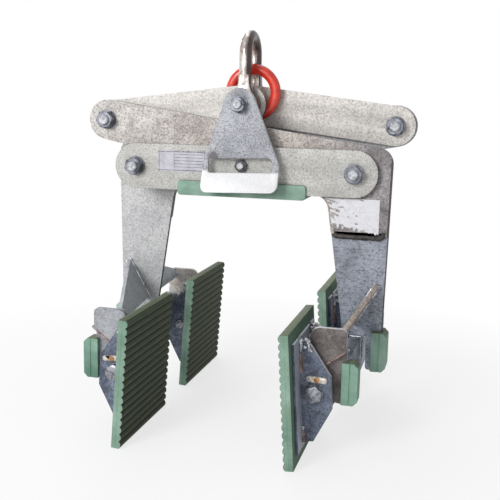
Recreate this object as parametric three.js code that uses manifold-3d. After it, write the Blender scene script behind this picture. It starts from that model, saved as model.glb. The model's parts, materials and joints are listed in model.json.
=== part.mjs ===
// Scissor clamp for lifting stone blocks and kerbs. Two cranked arms cross between two cross-beams,
// and two upper links draw them together from one top pin, so that the load closes four padded jaws.
// Millimetres: X runs across the jaws, Y from front (minus) to rear (plus), Z up. Pieces are placed from
// the middle of the two arm pivots, and the finished clamp is set with the seat of its shackle at zero.

import * as THREE from 'three';
import { mergeVertices } from 'three/addons/utils/BufferGeometryUtils.js';
import Module from 'manifold-3d';

const wasm = await Module();
wasm.setup();

// Clearances and cutters
const seat = 0.3;
const linkGap = 2.5;
const beamGap = 3;
const latchGap = 16;
const overrun = 4;
const weldLap = 0.5;

// Linkage, seen from the front
const pivotReach = 255;
const leverEndReach = 332;
const leverEndRise = 104;
const topPinRise = 145;

// Plates of the linkage
const linkThickness = 14;
const linkHalfWidth = 44;
const leverThickness = 18;
const leverEndRadius = 46;
const beamThickness = 12;
const beamHalfWidth = 52;
const topEyeClearance = 2.8;

// Cranked arm, measured from its pivot
const shoulderReach = 81;
const shoulderRise = 22;
const shoulderRadius = 36;
const armpitInset = 92;
const armpitDrop = 85;
const armpitRadius = 35;
const legOuterReach = 73;
const legInnerInset = 16;
const legNotchDrop = 366;
const legNotchRadius = 10;
const legStripInset = 34;
const legFootFall = 78;
const legCornerRadius = 7;

// Cross carrier at the foot of each arm
const carrierWidth = 26;
const carrierHeight = 88;
const carrierEdge = 3;

// End plates that carry the jaws
const earThickness = 12;
const earOuterReach = 246;
const earInner = 52;
const earOuter = 24;
const earTopRise = 66;
const earBackRise = 22;
const earLowFall = 34;
const earInnerRadius = 20;
const earOuterRadius = 10;
const earTipRadius = 4;
const backStrip = 4;
const backStripProud = 6;
const footTopRise = 22;
const footLowFall = 96;
const footEyeRadius = 22;
const footCornerRadius = 6;

// Gusset plates between the arm and its end plates
const gussetThickness = 10;
const gussetApexOut = 60;
const gussetApexRise = 122;
const gussetFootIn = 52;
const gussetFootDrop = 92;
const gussetEarFall = 4;
const gussetNearOut = 16;
const gussetFarIn = 32;
const gussetEarShare = 0.2;

// Rubber bump blocks
const blockWidth = 34;
const blockHeight = 90;
const blockChamfer = 9;
const blockGrip = 8;
const blockCheek = 12;
const legBlockGrip = 20;
const legBlockCheek = 19;
const blockLine = 2;
const earBlockFall = 4;
const legBlockRise = 16;

// Jaw pads
const padHeight = 280;
const padLength = 267;
const jawInset = 18.5;
const rubberThickness = 21.7;
const ribCount = 17;
const ribDepth = 5;
const backInset = 25;
const backThickness = 5;
const backOffset = 27;
const padPinInset = 35;
const padPinFall = 66;
const padTilt = 3.9;
const lugThickness = 12;
const lugSpread = 107;
const lugRootHalf = 104;
const lugTipHalf = 38;
const lugTipReach = 35.5;
const lugRootFlat = 14;
const lugRadius = 5;

// Jaw pins and their keepers
const padPinRadius = 12;
const padPinHeadRadius = 17.5;
const padPinHead = 10;
const padPinTail = 9;
const pinChamfer = 1.5;
const keeperLength = 43;
const keeperHeight = 12;
const keeperThickness = 5;
const keeperRise = 30;
const keeperOut = 7;
const keeperTurn = 7;
const screwRadius = 5.5;
const screwHead = 2;

// Pivot bolts with nut and washer
const boltRadius = 12;
const boltAcross = 36;
const boltHead = 14;
const nutHeight = 18;
const washerRadius = 22;
const washerThickness = 4;
const boltProud = 6;
const sleeveRadius = 20;

// Top pin
const topPinRadius = 13;
const topPinNeckRadius = 10;
const topPinHeadRadius = 19;
const topPinHead = 10;
const topNutAcross = 30;
const topNutHeight = 16;
const topWasherRadius = 19;
const linkWasherRadius = 24;

// Shackle
const shackleBar = 26;
const shackleSpread = 88;
const shackleEyeRadius = 33;
const shackleEyeThickness = 24;
const shackleFlareRadius = 45;
const bowCentreRise = 109;
const shackleNeckLap = 12;

// Ring
const ringWire = 24;
const ringOuterRadius = 65;
const ringLean = 14.5;

// Latch plate
const latchThickness = 8;
const latchApexRadius = 36;
const latchHalfWidth = 88;
const latchBendDrop = 134;
const latchLipDrop = 192;
const latchLipSlope = 28;
const latchLipCorner = 16;
const latchBendRadius = 12;
const latchShoulderRadius = 8;
const windowHalfWidth = 75;
const windowTopDrop = 118;
const windowHeight = 32;
const windowLeftRadius = 6;
const windowRightRadius = 14;
const latchLean = 1.8;

// Catch stud in the front cross-beam
const studRadius = 8;
const studRise = 9;
const studNutAcross = 24;
const studNutHeight = 9;
const studEndGap = 1;

// Rubber saddle below the cross-beams
const saddleHalfLength = 150;
const saddleWeb = 10;
const saddleLip = 8;
const saddleLipRise = 24;
const saddleCorner = 8;

// Facets
const circleSteps = 12;
const shaftSteps = 22;
const arcSag = 0.15;
const coarsestArc = Math.PI / 6;
const tubeSides = 14;
const bowSteps = 22;
const ringSteps = 34;
const ribSteps = 5;
const hexSides = 6;

const quarterTurn = Math.PI / 2;
const fullTurn = Math.PI * 2;

// Levels at the foot of an arm, all set from the notch in its leg
const legDrop = legNotchDrop + legFootFall;
const earTopDrop = legNotchDrop - earTopRise;
const earBackDrop = legNotchDrop - earBackRise;
const earLowDrop = legNotchDrop + earLowFall;
const footTopDrop = legNotchDrop - footTopRise;
const footLowDrop = legNotchDrop + footLowFall;
const gussetApexDrop = legNotchDrop - gussetApexRise;
const gussetEarDrop = earTopDrop + gussetEarFall;
const earBlockTopDrop = legNotchDrop + earBlockFall;
const legBlockTopDrop = legNotchDrop - legBlockRise;
const padPinDrop = legNotchDrop + padPinFall;

// Layers from the middle plane outwards
const linkMid = ringWire / 2 + linkGap + linkThickness / 2;
const leverMid = linkMid + linkThickness / 2 + linkGap + leverThickness / 2;
const leverFace = leverMid + leverThickness / 2;
const beamMid = leverFace + beamGap + beamThickness / 2;
const beamFace = beamMid + beamThickness / 2;
const latchMid = beamFace + latchGap + latchThickness / 2;

// Joins and cuts
function solidOf(geometry) {
  const bare = geometry.clone();
  bare.deleteAttribute('normal');
  bare.deleteAttribute('uv');
  const welded = mergeVertices(bare);
  const corners = welded.index.array;
  const faces = [];
  for (let start = 0; start < corners.length; start += 3) {
    const [a, b, c] = corners.subarray(start, start + 3);
    if (a !== b && b !== c && c !== a) faces.push(a, b, c);
  }
  return new wasm.Manifold(new wasm.Mesh({
    numProp: 3,
    vertProperties: Float32Array.from(welded.attributes.position.array),
    triVerts: Uint32Array.from(faces),
  }));
}

function geometryOf(solid) {
  const mesh = solid.getMesh();
  const geometry = new THREE.BufferGeometry();
  geometry.setAttribute('position', new THREE.BufferAttribute(Float32Array.from(mesh.vertProperties), 3));
  geometry.setIndex(new THREE.BufferAttribute(Uint32Array.from(mesh.triVerts), 1));
  geometry.computeVertexNormals();
  return geometry;
}

function joined(first, ...others) {
  return geometryOf(others.reduce((solid, other) => solid.add(solidOf(other)), solidOf(first)));
}

function cut(first, ...others) {
  return geometryOf(others.reduce((solid, other) => solid.subtract(solidOf(other)), solidOf(first)));
}

function common(first, second) {
  return geometryOf(solidOf(first).intersect(solidOf(second)));
}

// Points of an arc from one angle to another, in even steps, finer where the arc is wide
function arcPoints(x, z, radius, from, to) {
  const widest = Math.min(coarsestArc, 2 * Math.acos(1 - arcSag / radius));
  const steps = Math.max(1, Math.ceil(Math.abs(to - from) / widest));
  return Array.from({ length: steps + 1 }, (unused, index) => {
    const angle = from + (to - from) * index / steps;
    return new THREE.Vector2(x + radius * Math.cos(angle), z + radius * Math.sin(angle));
  });
}

// An outline stretched round discs like a belt, counter-clockwise. Each disc is [x, z, radius],
// and a negative radius makes a hollow corner that the belt passes on its other side.
function belt(discs) {
  const normals = discs.map(([x, z, radius], index) => {
    const [nextX, nextZ, nextRadius] = discs[(index + 1) % discs.length];
    const heading = Math.atan2(nextZ - z, nextX - x);
    return heading + Math.acos((nextRadius - radius) / Math.hypot(nextX - x, nextZ - z));
  });
  const points = discs.flatMap(([x, z, radius], index) => {
    const way = Math.sign(radius);
    const side = way < 0 ? 0 : Math.PI;
    const arriving = normals[(index + discs.length - 1) % discs.length];
    const turn = way * THREE.MathUtils.euclideanModulo(way * (normals[index] - arriving), fullTurn);
    return arcPoints(x, z, way * radius, arriving + side, arriving + turn + side);
  });
  return new THREE.Shape(points);
}

function hole(x, z, radius) {
  return new THREE.Path().absarc(x, z, radius, 0, fullTurn, true);
}

// A rectangle with rounded corners, from its centre
function roundedBox(x, z, width, height, radius) {
  const across = width / 2 - radius;
  const up = height / 2 - radius;
  return belt([
    [x - across, z - up, radius], [x + across, z - up, radius],
    [x + across, z + up, radius], [x - across, z + up, radius],
  ]);
}

// A plate cut to a front outline, centred on its own middle plane
function plate(shape, thickness, holes = []) {
  shape.holes.push(...holes);
  const geometry = new THREE.ExtrudeGeometry(
    shape, { depth: thickness, bevelEnabled: false, curveSegments: circleSteps });
  return geometry.rotateX(quarterTurn).translate(0, thickness / 2, 0);
}

// A bar whose side outline, in Y and Z, runs along X
function barAlongX(shape, length) {
  const geometry = new THREE.ExtrudeGeometry(
    shape, { depth: length, bevelEnabled: false, curveSegments: circleSteps });
  return geometry.rotateX(quarterTurn).rotateZ(quarterTurn).translate(-length / 2, 0, 0);
}

function box(width, depth, height, x, y, z) {
  return new THREE.BoxGeometry(width, depth, height).translate(x, y, z);
}

// A turned piece along Y. Each step is [y, radius], from front to rear.
function turned(steps, bore = 0) {
  const first = steps[0][0];
  const last = steps[steps.length - 1][0];
  const outline = [[first, bore], ...steps, [last, bore]]
    .map(([y, radius]) => new THREE.Vector2(radius, y));
  if (bore > 0) outline.push(outline[0].clone());
  return new THREE.LatheGeometry(outline, shaftSteps);
}

// A hexagonal prism along Y, from front to rear
function hexPrism(across, front, rear) {
  const reach = across / 2 / Math.cos(Math.PI / hexSides);
  return new THREE.CylinderGeometry(reach, reach, rear - front, hexSides)
    .translate(0, (front + rear) / 2, 0);
}

const colours = {
  zinc: 0xb9bcc0, dullZinc: 0x8f8d8c, bolt: 0xa7a6a3, rubber: 0x4f8068, red: 0xd2382a, steel: 0x9a9b9d,
};

function material(colour, roughness, metalness) {
  return new THREE.MeshStandardMaterial({ color: colours[colour], roughness, metalness });
}

const looks = {
  galvanised: () => material('zinc', 0.45, 0.85),
  dull: () => material('dullZinc', 0.6, 0.7),
  bolt: () => material('bolt', 0.4, 0.9),
  rubber: () => material('rubber', 0.85, 0),
  red: () => material('red', 0.45, 0.1),
  forged: () => material('steel', 0.5, 0.8),
};

function add(parent, name, geometry, look, position = [0, 0, 0]) {
  const mesh = new THREE.Mesh(geometry, looks[look]());
  mesh.name = name;
  mesh.position.set(...position);
  parent.add(mesh);
  return mesh;
}

function place(parent, x, y, z) {
  const group = new THREE.Group();
  group.position.set(x, y, z);
  parent.add(group);
  return group;
}

// Bolt through a stack of plates between a rear and a front face, its head behind
function pivotBolt(front, rear) {
  const end = front - seat * 2 - washerThickness - nutHeight - boltProud;
  const headFace = rear + seat;
  const shank = turned([
    [end, boltRadius - pinChamfer], [end + pinChamfer, boltRadius], [headFace + boltHead / 2, boltRadius]]);
  return joined(shank, hexPrism(boltAcross, headFace, headFace + boltHead));
}

// Washer and nut against a front face
function washerAndNut(front, bolt, across, washer, height) {
  const washerRear = front - seat;
  const washerFront = washerRear - washerThickness;
  const nutFront = washerFront - height;
  const body = joined(
    turned([[washerFront, washer], [washerRear, washer]]),
    hexPrism(across, nutFront, washerFront + weldLap));
  return cut(body, turned([[nutFront - overrun, bolt + seat], [washerRear + overrun, bolt + seat]]));
}

// Cross-beam with an eye at each end
function crossBeam() {
  const outline = belt([[-pivotReach, 0, beamHalfWidth], [pivotReach, 0, beamHalfWidth]]);
  const eye = boltRadius + seat;
  return plate(outline, beamThickness, [hole(-pivotReach, 0, eye), hole(pivotReach, 0, eye)]);
}

// Rubber saddle: a channel that takes the lower edges of both cross-beams
function saddle() {
  const inner = beamFace + seat;
  const outer = inner + saddleLip;
  const webTop = -beamHalfWidth - seat;
  const bottom = webTop - saddleWeb;
  const top = webTop + saddleLipRise;
  const channel = new THREE.Shape([
    [-outer, bottom], [outer, bottom], [outer, top], [inner, top],
    [inner, webTop], [-inner, webTop], [-inner, top], [-outer, top],
  ].map((point) => new THREE.Vector2(...point)));
  const height = top - bottom;
  const front = roundedBox(0, bottom + height / 2, saddleHalfLength * 2, height, saddleCorner);
  return common(barAlongX(channel, saddleHalfLength * 2), plate(front, outer * 2 + overrun));
}

// Stud with its nut that the latch window drops over
function catchStud() {
  const root = -beamFace - seat;
  const tip = -latchMid + latchThickness / 2 + studEndGap;
  return joined(
    turned([[tip, studRadius - pinChamfer], [tip + pinChamfer, studRadius], [root, studRadius]]),
    hexPrism(studNutAcross, root - studNutHeight, root));
}

// Distance sleeve on an arm pivot, from the arm to the far cross-beam
function sleeve() {
  const front = -leverMid + leverThickness / 2 + seat;
  const rear = beamMid - beamThickness / 2 - seat;
  return turned([[front, sleeveRadius], [rear, sleeveRadius]], boltRadius + seat);
}

// Cranked arm: lever and leg in one plate, with a notch at its foot for the carrier
const notchSide = legOuterReach - legStripInset;
const leverEndInset = pivotReach + leverEndReach;

function crank() {
  const foot = -legDrop + legCornerRadius;
  const outline = belt([
    [notchSide + legCornerRadius, foot, legCornerRadius],
    [legOuterReach - legCornerRadius, foot, legCornerRadius],
    [shoulderReach - shoulderRadius, shoulderRise, shoulderRadius],
    [-leverEndInset, leverEndRise, leverEndRadius],
    [-armpitInset, -armpitDrop, -armpitRadius],
    [-legInnerInset + legNotchRadius, -legNotchDrop + legNotchRadius, legNotchRadius],
    [notchSide - legNotchRadius, -legNotchDrop - legNotchRadius, -legNotchRadius],
  ]);
  const eye = boltRadius + seat;
  return plate(outline, leverThickness, [hole(0, 0, eye), hole(-leverEndInset, leverEndRise, eye)]);
}

// Flat bar through the notch, from end plate to end plate. The jaws' lugs rest on its lower inner edge,
// which sets how far their lower edges swing out.
const footFace = earOuterReach - earThickness;
const footMid = footFace - earThickness / 2;
const carrierHalfLength = footFace - earThickness - seat;
const carrierZ = -legNotchDrop - seat - carrierHeight / 2;
const padLean = THREE.MathUtils.degToRad(padTilt);
const stopDrop = legNotchDrop + seat + carrierHeight - padPinDrop;
const carrierInner = lugTipReach * Math.cos(padLean) + stopDrop * Math.sin(padLean) + seat - padPinInset;
const carrierOuter = carrierInner + carrierWidth;
const carrierMid = carrierInner + carrierWidth / 2;

function carrier() {
  return plate(roundedBox(0, 0, carrierWidth, carrierHeight, carrierEdge), carrierHalfLength * 2);
}

// End plate: an upper ear lapped on a foot plate that holds the jaw pin, facing rear (1) or front (-1)
function endPlate(facing) {
  const ear = plate(belt([
    [earOuter - earTipRadius, -earBackDrop + earTipRadius, earTipRadius],
    [earOuter - earOuterRadius, -earTopDrop - earOuterRadius, earOuterRadius],
    [-earInner + earInnerRadius, -earTopDrop - earInnerRadius, earInnerRadius],
    [-earInner + earTipRadius, -earLowDrop + earTipRadius, earTipRadius],
  ]), earThickness);
  const fall = Math.atan2(earLowDrop - earBackDrop, earInner + earOuter);
  const run = Math.hypot(earLowDrop - earBackDrop, earInner + earOuter);
  const strip = box(run + backStripProud, earThickness, backStrip + weldLap, 0, 0, 0)
    .rotateY(-fall)
    .translate(
      (earOuter - earInner + backStripProud * Math.cos(fall)) / 2, 0,
      (-earBackDrop - earLowDrop + backStripProud * Math.sin(fall) - backStrip) / 2);
  const foot = plate(belt([
    [-padPinInset, -padPinDrop, footEyeRadius],
    [earOuter - footCornerRadius, -footLowDrop + footCornerRadius, footCornerRadius],
    [earOuter - footCornerRadius, -footTopDrop - footCornerRadius, footCornerRadius],
    [-padPinInset + footCornerRadius, -footTopDrop - footCornerRadius, footCornerRadius],
  ]), earThickness, [hole(-padPinInset, -padPinDrop, padPinRadius + seat)]);
  return joined(
    ear.translate(0, facing * (earThickness - weldLap) / 2, 0),
    strip.translate(0, facing * (earThickness - weldLap) / 2, 0),
    foot.translate(0, facing * (weldLap - earThickness) / 2, 0));
}

// Flat gusset between the arm's face and an ear, through the apex and foot on the arm and one point
// on the ear, cut square where it meets both
function gusset(facing, armFace, earPoint) {
  const earFace = footFace - weldLap - seat;
  const apex = new THREE.Vector3(gussetApexOut, armFace, -gussetApexDrop);
  const down = new THREE.Vector3(-gussetFootIn, 0, -gussetFootDrop);
  const reach = new THREE.Vector3(earPoint, facing * earFace, -gussetEarDrop).sub(apex);
  const normal = new THREE.Vector3().crossVectors(down, reach).normalize();
  const along = down.clone().normalize();
  const across = new THREE.Vector3().crossVectors(normal, along);
  const flat = ([lengthShare, reachShare]) => {
    const point = down.clone().multiplyScalar(lengthShare).addScaledVector(reach, reachShare);
    return new THREE.Vector2(point.dot(along), point.dot(across));
  };
  const spareShare = 2 * overrun / reach.length();
  const outline = [
    [0, 0], [0, -spareShare], [1, -spareShare], [1, 0],
    [gussetEarShare, 1], [gussetEarShare, 1 + spareShare], [0, 1 + spareShare], [0, 1],
  ].map(flat);
  const sheet = new THREE.ExtrudeGeometry(
    new THREE.Shape(outline), { depth: gussetThickness, bevelEnabled: false });
  sheet.translate(0, 0, -gussetThickness / 2);
  sheet.applyMatrix4(new THREE.Matrix4().makeBasis(along, across, normal).setPosition(apex));
  const near = Math.abs(armFace - facing * earFace) - seat;
  const wide = (gussetApexOut + gussetFootIn + earInner) * 2;
  return common(sheet, box(wide, near, wide, 0, (armFace + facing * (earFace + seat)) / 2, apex.z));
}

// Bump block: a rubber moulding with chamfered outer corners, grooved for the edge that it grips.
// Its inner side is at x = 0 and its middle at y = 0.
function bumpBlock(cheek, plateThickness, grip) {
  const depth = cheek * 2 + plateThickness;
  const half = blockHeight / 2;
  const outline = new THREE.Shape([
    [0, -half], [blockWidth - blockChamfer, -half], [blockWidth, blockChamfer - half],
    [blockWidth, half - blockChamfer], [blockWidth - blockChamfer, half], [0, half],
  ].map((point) => new THREE.Vector2(...point)));
  const tall = blockHeight + overrun * 2;
  const groove = box(
    grip + seat + overrun, plateThickness + seat * 2, tall, (grip + seat - overrun) / 2, 0, 0);
  const line = (side) => box(blockLine, blockLine * 2, tall, blockWidth / 2, side * depth / 2, 0);
  return cut(plate(outline, depth), groove, line(-1), line(1));
}

// Jaw pad, measured from its pin. The ribbed face looks inwards, to minus X.
const rubberBack = -backOffset - backThickness - seat;

function rubberPad() {
  const face = rubberBack - rubberThickness + ribDepth;
  const pitch = padHeight / ribCount;
  const radius = (pitch * pitch / 4 + ribDepth * ribDepth) / (2 * ribDepth);
  const half = Math.asin(pitch / 2 / radius);
  const outline = [-1, 1].map((end) => new THREE.Vector2(rubberBack, end * padHeight / 2));
  for (let rib = 0; rib < ribCount; rib += 1) {
    const centre = padHeight / 2 - pitch / 2 - pitch * rib;
    for (let step = rib > 0 ? 1 : 0; step <= ribSteps; step += 1) {
      const angle = Math.PI - half + 2 * half * step / ribSteps;
      outline.push(new THREE.Vector2(
        face + (radius - ribDepth) + radius * Math.cos(angle), centre + radius * Math.sin(angle)));
    }
  }
  return plate(new THREE.Shape(outline), padLength);
}

function padBack() {
  const width = padLength - backInset * 2;
  const height = padHeight - backInset * 2;
  const back = box(backThickness, width, height, -backOffset - backThickness / 2, 0, 0);
  const rootInside = -backOffset - weldLap;
  const lug = () => plate(belt([
    [rootInside + lugRadius, -lugRootHalf + lugRadius, lugRadius],
    [rootInside + lugRootFlat + lugRadius, -lugRootHalf + lugRadius, lugRadius],
    [lugTipReach - lugRadius, -lugTipHalf + lugRadius, lugRadius],
    [lugTipReach - lugRadius, lugTipHalf - lugRadius, lugRadius],
    [rootInside + lugRootFlat + lugRadius, lugRootHalf - lugRadius, lugRadius],
    [rootInside + lugRadius, lugRootHalf - lugRadius, lugRadius],
  ]), lugThickness, [hole(0, 0, padPinRadius + seat)]);
  return joined(back, lug().translate(0, -lugSpread / 2, 0), lug().translate(0, lugSpread / 2, 0));
}

function padPin(facing) {
  const lugFace = lugSpread / 2 + lugThickness / 2;
  const pin = turned([
    [-lugFace - seat - padPinHead, padPinHeadRadius - pinChamfer],
    [-lugFace - seat - padPinHead + pinChamfer, padPinHeadRadius],
    [-lugFace - seat, padPinHeadRadius], [-lugFace - seat, padPinRadius],
    [lugFace + padPinTail - pinChamfer, padPinRadius], [lugFace + padPinTail, padPinRadius - pinChamfer],
  ]);
  return facing < 0 ? pin : pin.rotateZ(Math.PI);
}

function keeper(facing) {
  const face = lugSpread / 2 + lugThickness / 2 + seat;
  const end = keeperHeight / 2;
  const reach = keeperLength / 2 - end;
  const bar = plate(belt([[-reach, 0, end], [reach, 0, end]]), keeperThickness)
    .rotateY(THREE.MathUtils.degToRad(keeperTurn));
  const head = turned([[-keeperThickness / 2 - screwHead, screwRadius], [0, screwRadius]]);
  const fitted = joined(bar, facing < 0 ? head : head.rotateZ(Math.PI));
  return fitted.translate(keeperOut, facing * (face + keeperThickness / 2), keeperRise);
}

// Upper link from an arm's lever end to the top pin
function upperLink() {
  const rise = topPinRise - leverEndRise;
  return plate(
    belt([[0, 0, linkHalfWidth], [leverEndReach, rise, linkHalfWidth]]), linkThickness,
    [hole(0, 0, boltRadius + seat), hole(leverEndReach, rise, topPinRadius + topEyeClearance)]);
}

// Top pin, with a neck at the front for the latch plate
const eyeFace = shackleSpread / 2 + shackleEyeThickness / 2;
const latchRear = -latchMid + latchThickness / 2;
const latchFront = -latchMid - latchThickness / 2;

function topPin() {
  const tip = latchFront - seat * 2 - washerThickness - topNutHeight - boltProud;
  const headFace = eyeFace + seat;
  return turned([
    [tip, topPinNeckRadius - pinChamfer], [tip + pinChamfer, topPinNeckRadius],
    [latchRear + seat, topPinNeckRadius], [latchRear + seat, topPinRadius],
    [headFace, topPinRadius], [headFace, topPinHeadRadius],
    [headFace + topPinHead - pinChamfer, topPinHeadRadius],
    [headFace + topPinHead, topPinHeadRadius - pinChamfer],
  ]);
}

// Shackle: a round bow whose legs flare into two flat eyes
function shackleEye() {
  const half = shackleBar / 2;
  const flareX = half + shackleFlareRadius;
  const flareZ = Math.sqrt((shackleEyeRadius + shackleFlareRadius) ** 2 - flareX ** 2);
  const lean = Math.atan2(flareZ, flareX);
  const top = flareZ + shackleNeckLap;
  const outline = [
    ...arcPoints(0, 0, shackleEyeRadius, Math.PI - lean, fullTurn + lean),
    ...arcPoints(flareX, flareZ, shackleFlareRadius, Math.PI + lean, Math.PI).slice(1),
    new THREE.Vector2(half, top), new THREE.Vector2(-half, top),
    ...arcPoints(-flareX, flareZ, shackleFlareRadius, 0, -lean).slice(0, -1),
  ];
  return plate(new THREE.Shape(outline), shackleEyeThickness, [hole(0, 0, topPinRadius + seat)]);
}

// Centre line of the bow: up one leg, round the half circle and down the other leg
class BowLine extends THREE.Curve {
  getPoint(share) {
    const half = shackleSpread / 2;
    const leg = bowCentreRise - shackleEyeRadius - shackleNeckLap;
    const along = share * (leg * 2 + Math.PI * half);
    if (along < leg) return new THREE.Vector3(0, -half, bowCentreRise - leg + along);
    const angle = (along - leg) / half;
    if (angle > Math.PI) return new THREE.Vector3(0, half, bowCentreRise - (angle - Math.PI) * half);
    return new THREE.Vector3(0, -half * Math.cos(angle), bowCentreRise + half * Math.sin(angle));
  }
}

function shackle() {
  const half = shackleSpread / 2;
  const section = new THREE.Shape(arcPoints(0, 0, shackleBar / 2, 0, fullTurn).slice(1));
  const bow = new THREE.ExtrudeGeometry(section, { steps: bowSteps, extrudePath: new BowLine() });
  return joined(bow, shackleEye().translate(0, -half, 0), shackleEye().translate(0, half, 0));
}

function ring() {
  const middle = ringOuterRadius - ringWire / 2;
  return new THREE.TorusGeometry(middle, ringWire / 2, tubeSides, ringSteps).rotateX(quarterTurn);
}

// Latch plate: hangs on the top pin, with a window over the catch stud and its lower lip bent forward
function latchPlate() {
  const slope = THREE.MathUtils.degToRad(latchLipSlope);
  const half = latchThickness / 2;
  const top = latchApexRadius + overrun;
  const bendZ = -latchBendDrop;
  const outerBend = latchBendRadius + latchThickness;
  const bendY = -half - latchBendRadius;
  const lip = (latchLipDrop - latchBendDrop + overrun) / Math.cos(slope);
  const lipStep = (radius) => new THREE.Vector2(
    bendY + radius * Math.cos(slope) - lip * Math.sin(slope),
    bendZ - radius * Math.sin(slope) - lip * Math.cos(slope));
  const profile = new THREE.Shape([
    new THREE.Vector2(half, top), new THREE.Vector2(-half, top),
    ...arcPoints(bendY, bendZ, latchBendRadius, 0, -slope), lipStep(latchBendRadius),
    lipStep(outerBend), ...arcPoints(bendY, bendZ, outerBend, -slope, 0),
  ]);
  const lipZ = -latchLipDrop + latchLipCorner;
  const front = belt([
    [latchHalfWidth - latchLipCorner, lipZ, latchLipCorner],
    [latchHalfWidth - latchShoulderRadius, bendZ, latchShoulderRadius],
    [0, 0, latchApexRadius],
    [latchShoulderRadius - latchHalfWidth, bendZ, latchShoulderRadius],
    [latchLipCorner - latchHalfWidth, lipZ, latchLipCorner],
  ]);
  const low = -windowTopDrop - windowHeight;
  const windowLeft = windowLeftRadius - windowHalfWidth;
  const windowRight = windowHalfWidth - windowRightRadius;
  const opening = belt([
    [windowLeft, low + windowLeftRadius, windowLeftRadius],
    [windowHalfWidth - windowLeftRadius, low + windowLeftRadius, windowLeftRadius],
    [windowRight, -windowTopDrop - windowRightRadius, windowRightRadius],
    [windowLeft, -windowTopDrop - windowLeftRadius, windowLeftRadius],
  ]);
  const deep = (outerBend + lip) * 2;
  return cut(
    common(barAlongX(profile, (latchHalfWidth + overrun) * 2), plate(front, deep)),
    plate(opening, deep),
    turned([[-latchThickness, topPinNeckRadius + seat], [latchThickness, topPinNeckRadius + seat]]));
}

// One jaw on an end plate of an arm: its rubber and back, its pin and the keeper of the pin
function addJaw(arm, side, where, facing) {
  const jaw = place(arm, -padPinInset, facing * (footMid - jawInset), -padPinDrop);
  jaw.rotation.y = -padLean;
  const label = `${where}_${side}`;
  add(jaw, `pad_rubber_${label}`, rubberPad(), 'rubber');
  add(jaw, `pad_back_${label}`, padBack(), 'dull');
  add(jaw, `pad_pin_${label}`, padPin(facing), 'bolt');
  add(jaw, `pin_keeper_${label}`, keeper(facing), 'bolt');
}

// One arm about its pivot, built as the right one. Its lever lies in the front layer.
function addArm(clamp, side, turn) {
  const arm = place(clamp, turn ? -pivotReach : pivotReach, 0, 0);
  arm.rotation.z = turn;
  add(arm, `crank_${side}`, crank(), 'galvanised', [0, -leverMid, 0]);
  add(arm, `carrier_${side}`, carrier(), 'galvanised', [carrierMid, 0, carrierZ]);
  const legSlant = (shoulderReach - legOuterReach) / (legDrop + shoulderRise);
  const legSpread = legSlant * (legDrop - legBlockTopDrop);
  const legBlock = bumpBlock(legBlockCheek, leverThickness, legBlockGrip + legSpread);
  const legBlockX = legOuterReach - legBlockGrip;
  add(arm, `leg_block_${side}`, legBlock, 'rubber',
    [legBlockX, -leverMid, -legBlockTopDrop - blockHeight / 2]);
  for (const facing of [-1, 1]) {
    const rear = (facing > 0) !== (turn > 0);
    const label = `${rear ? 'rear' : 'front'}_${side}`;
    add(arm, `end_plate_${label}`, endPlate(facing), 'dull', [0, facing * (footFace - weldLap / 2), 0]);
    const armFace = -leverMid + facing * (leverThickness / 2 + seat);
    const near = facing < 0;
    add(arm, `gusset_${label}`, gusset(facing, armFace, near ? gussetNearOut : -gussetFarIn), 'galvanised');
    const blockX = earOuter - blockGrip;
    const block = cut(
      bumpBlock(blockCheek, earThickness, blockGrip),
      box(carrierOuter + seat - blockX + overrun, blockCheek + overrun, blockHeight + overrun * 2,
        (carrierOuter + seat - blockX - overrun) / 2,
        -facing * (earThickness + blockCheek + overrun + seat * 2) / 2, 0));
    add(arm, `ear_block_${label}`, block, 'rubber',
      [blockX, facing * footMid, -earBlockTopDrop - blockHeight / 2]);
    addJaw(arm, side, rear ? 'rear' : 'front', facing);
  }
}

function addPivot(clamp, label, x, z, front, rear) {
  add(clamp, `pivot_bolt_${label}`, pivotBolt(front, rear), 'bolt', [x, 0, z]);
  const nut = washerAndNut(front, boltRadius, boltAcross, washerRadius, nutHeight);
  add(clamp, `pivot_nut_${label}`, nut, 'bolt', [x, 0, z]);
}

function addFrame(clamp) {
  add(clamp, 'crossbeam_front', crossBeam(), 'galvanised', [0, -beamMid, 0]);
  add(clamp, 'crossbeam_rear', crossBeam(), 'galvanised', [0, beamMid, 0]);
  add(clamp, 'saddle_rubber', saddle(), 'rubber');
  add(clamp, 'catch_stud', catchStud(), 'bolt', [0, 0, studRise]);
  addPivot(clamp, 'lower_left', -pivotReach, 0, -beamFace, beamFace);
  addPivot(clamp, 'lower_right', pivotReach, 0, -beamFace, beamFace);
  add(clamp, 'sleeve_right', sleeve(), 'dull', [pivotReach, 0, 0]);
  add(clamp, 'sleeve_left', sleeve().rotateZ(Math.PI), 'dull', [-pivotReach, 0, 0]);
}

function addLinks(clamp) {
  const linkFace = linkMid - linkThickness / 2;
  addPivot(clamp, 'upper_left', -leverEndReach, leverEndRise, -leverFace, -linkFace);
  addPivot(clamp, 'upper_right', leverEndReach, leverEndRise, linkFace, leverFace);
  add(clamp, 'upper_link_left', upperLink(), 'galvanised', [-leverEndReach, -linkMid, leverEndRise]);
  const right = place(clamp, leverEndReach, 0, leverEndRise);
  right.rotation.z = Math.PI;
  add(right, 'upper_link_right', upperLink(), 'galvanised', [0, -linkMid, 0]);
}

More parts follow.
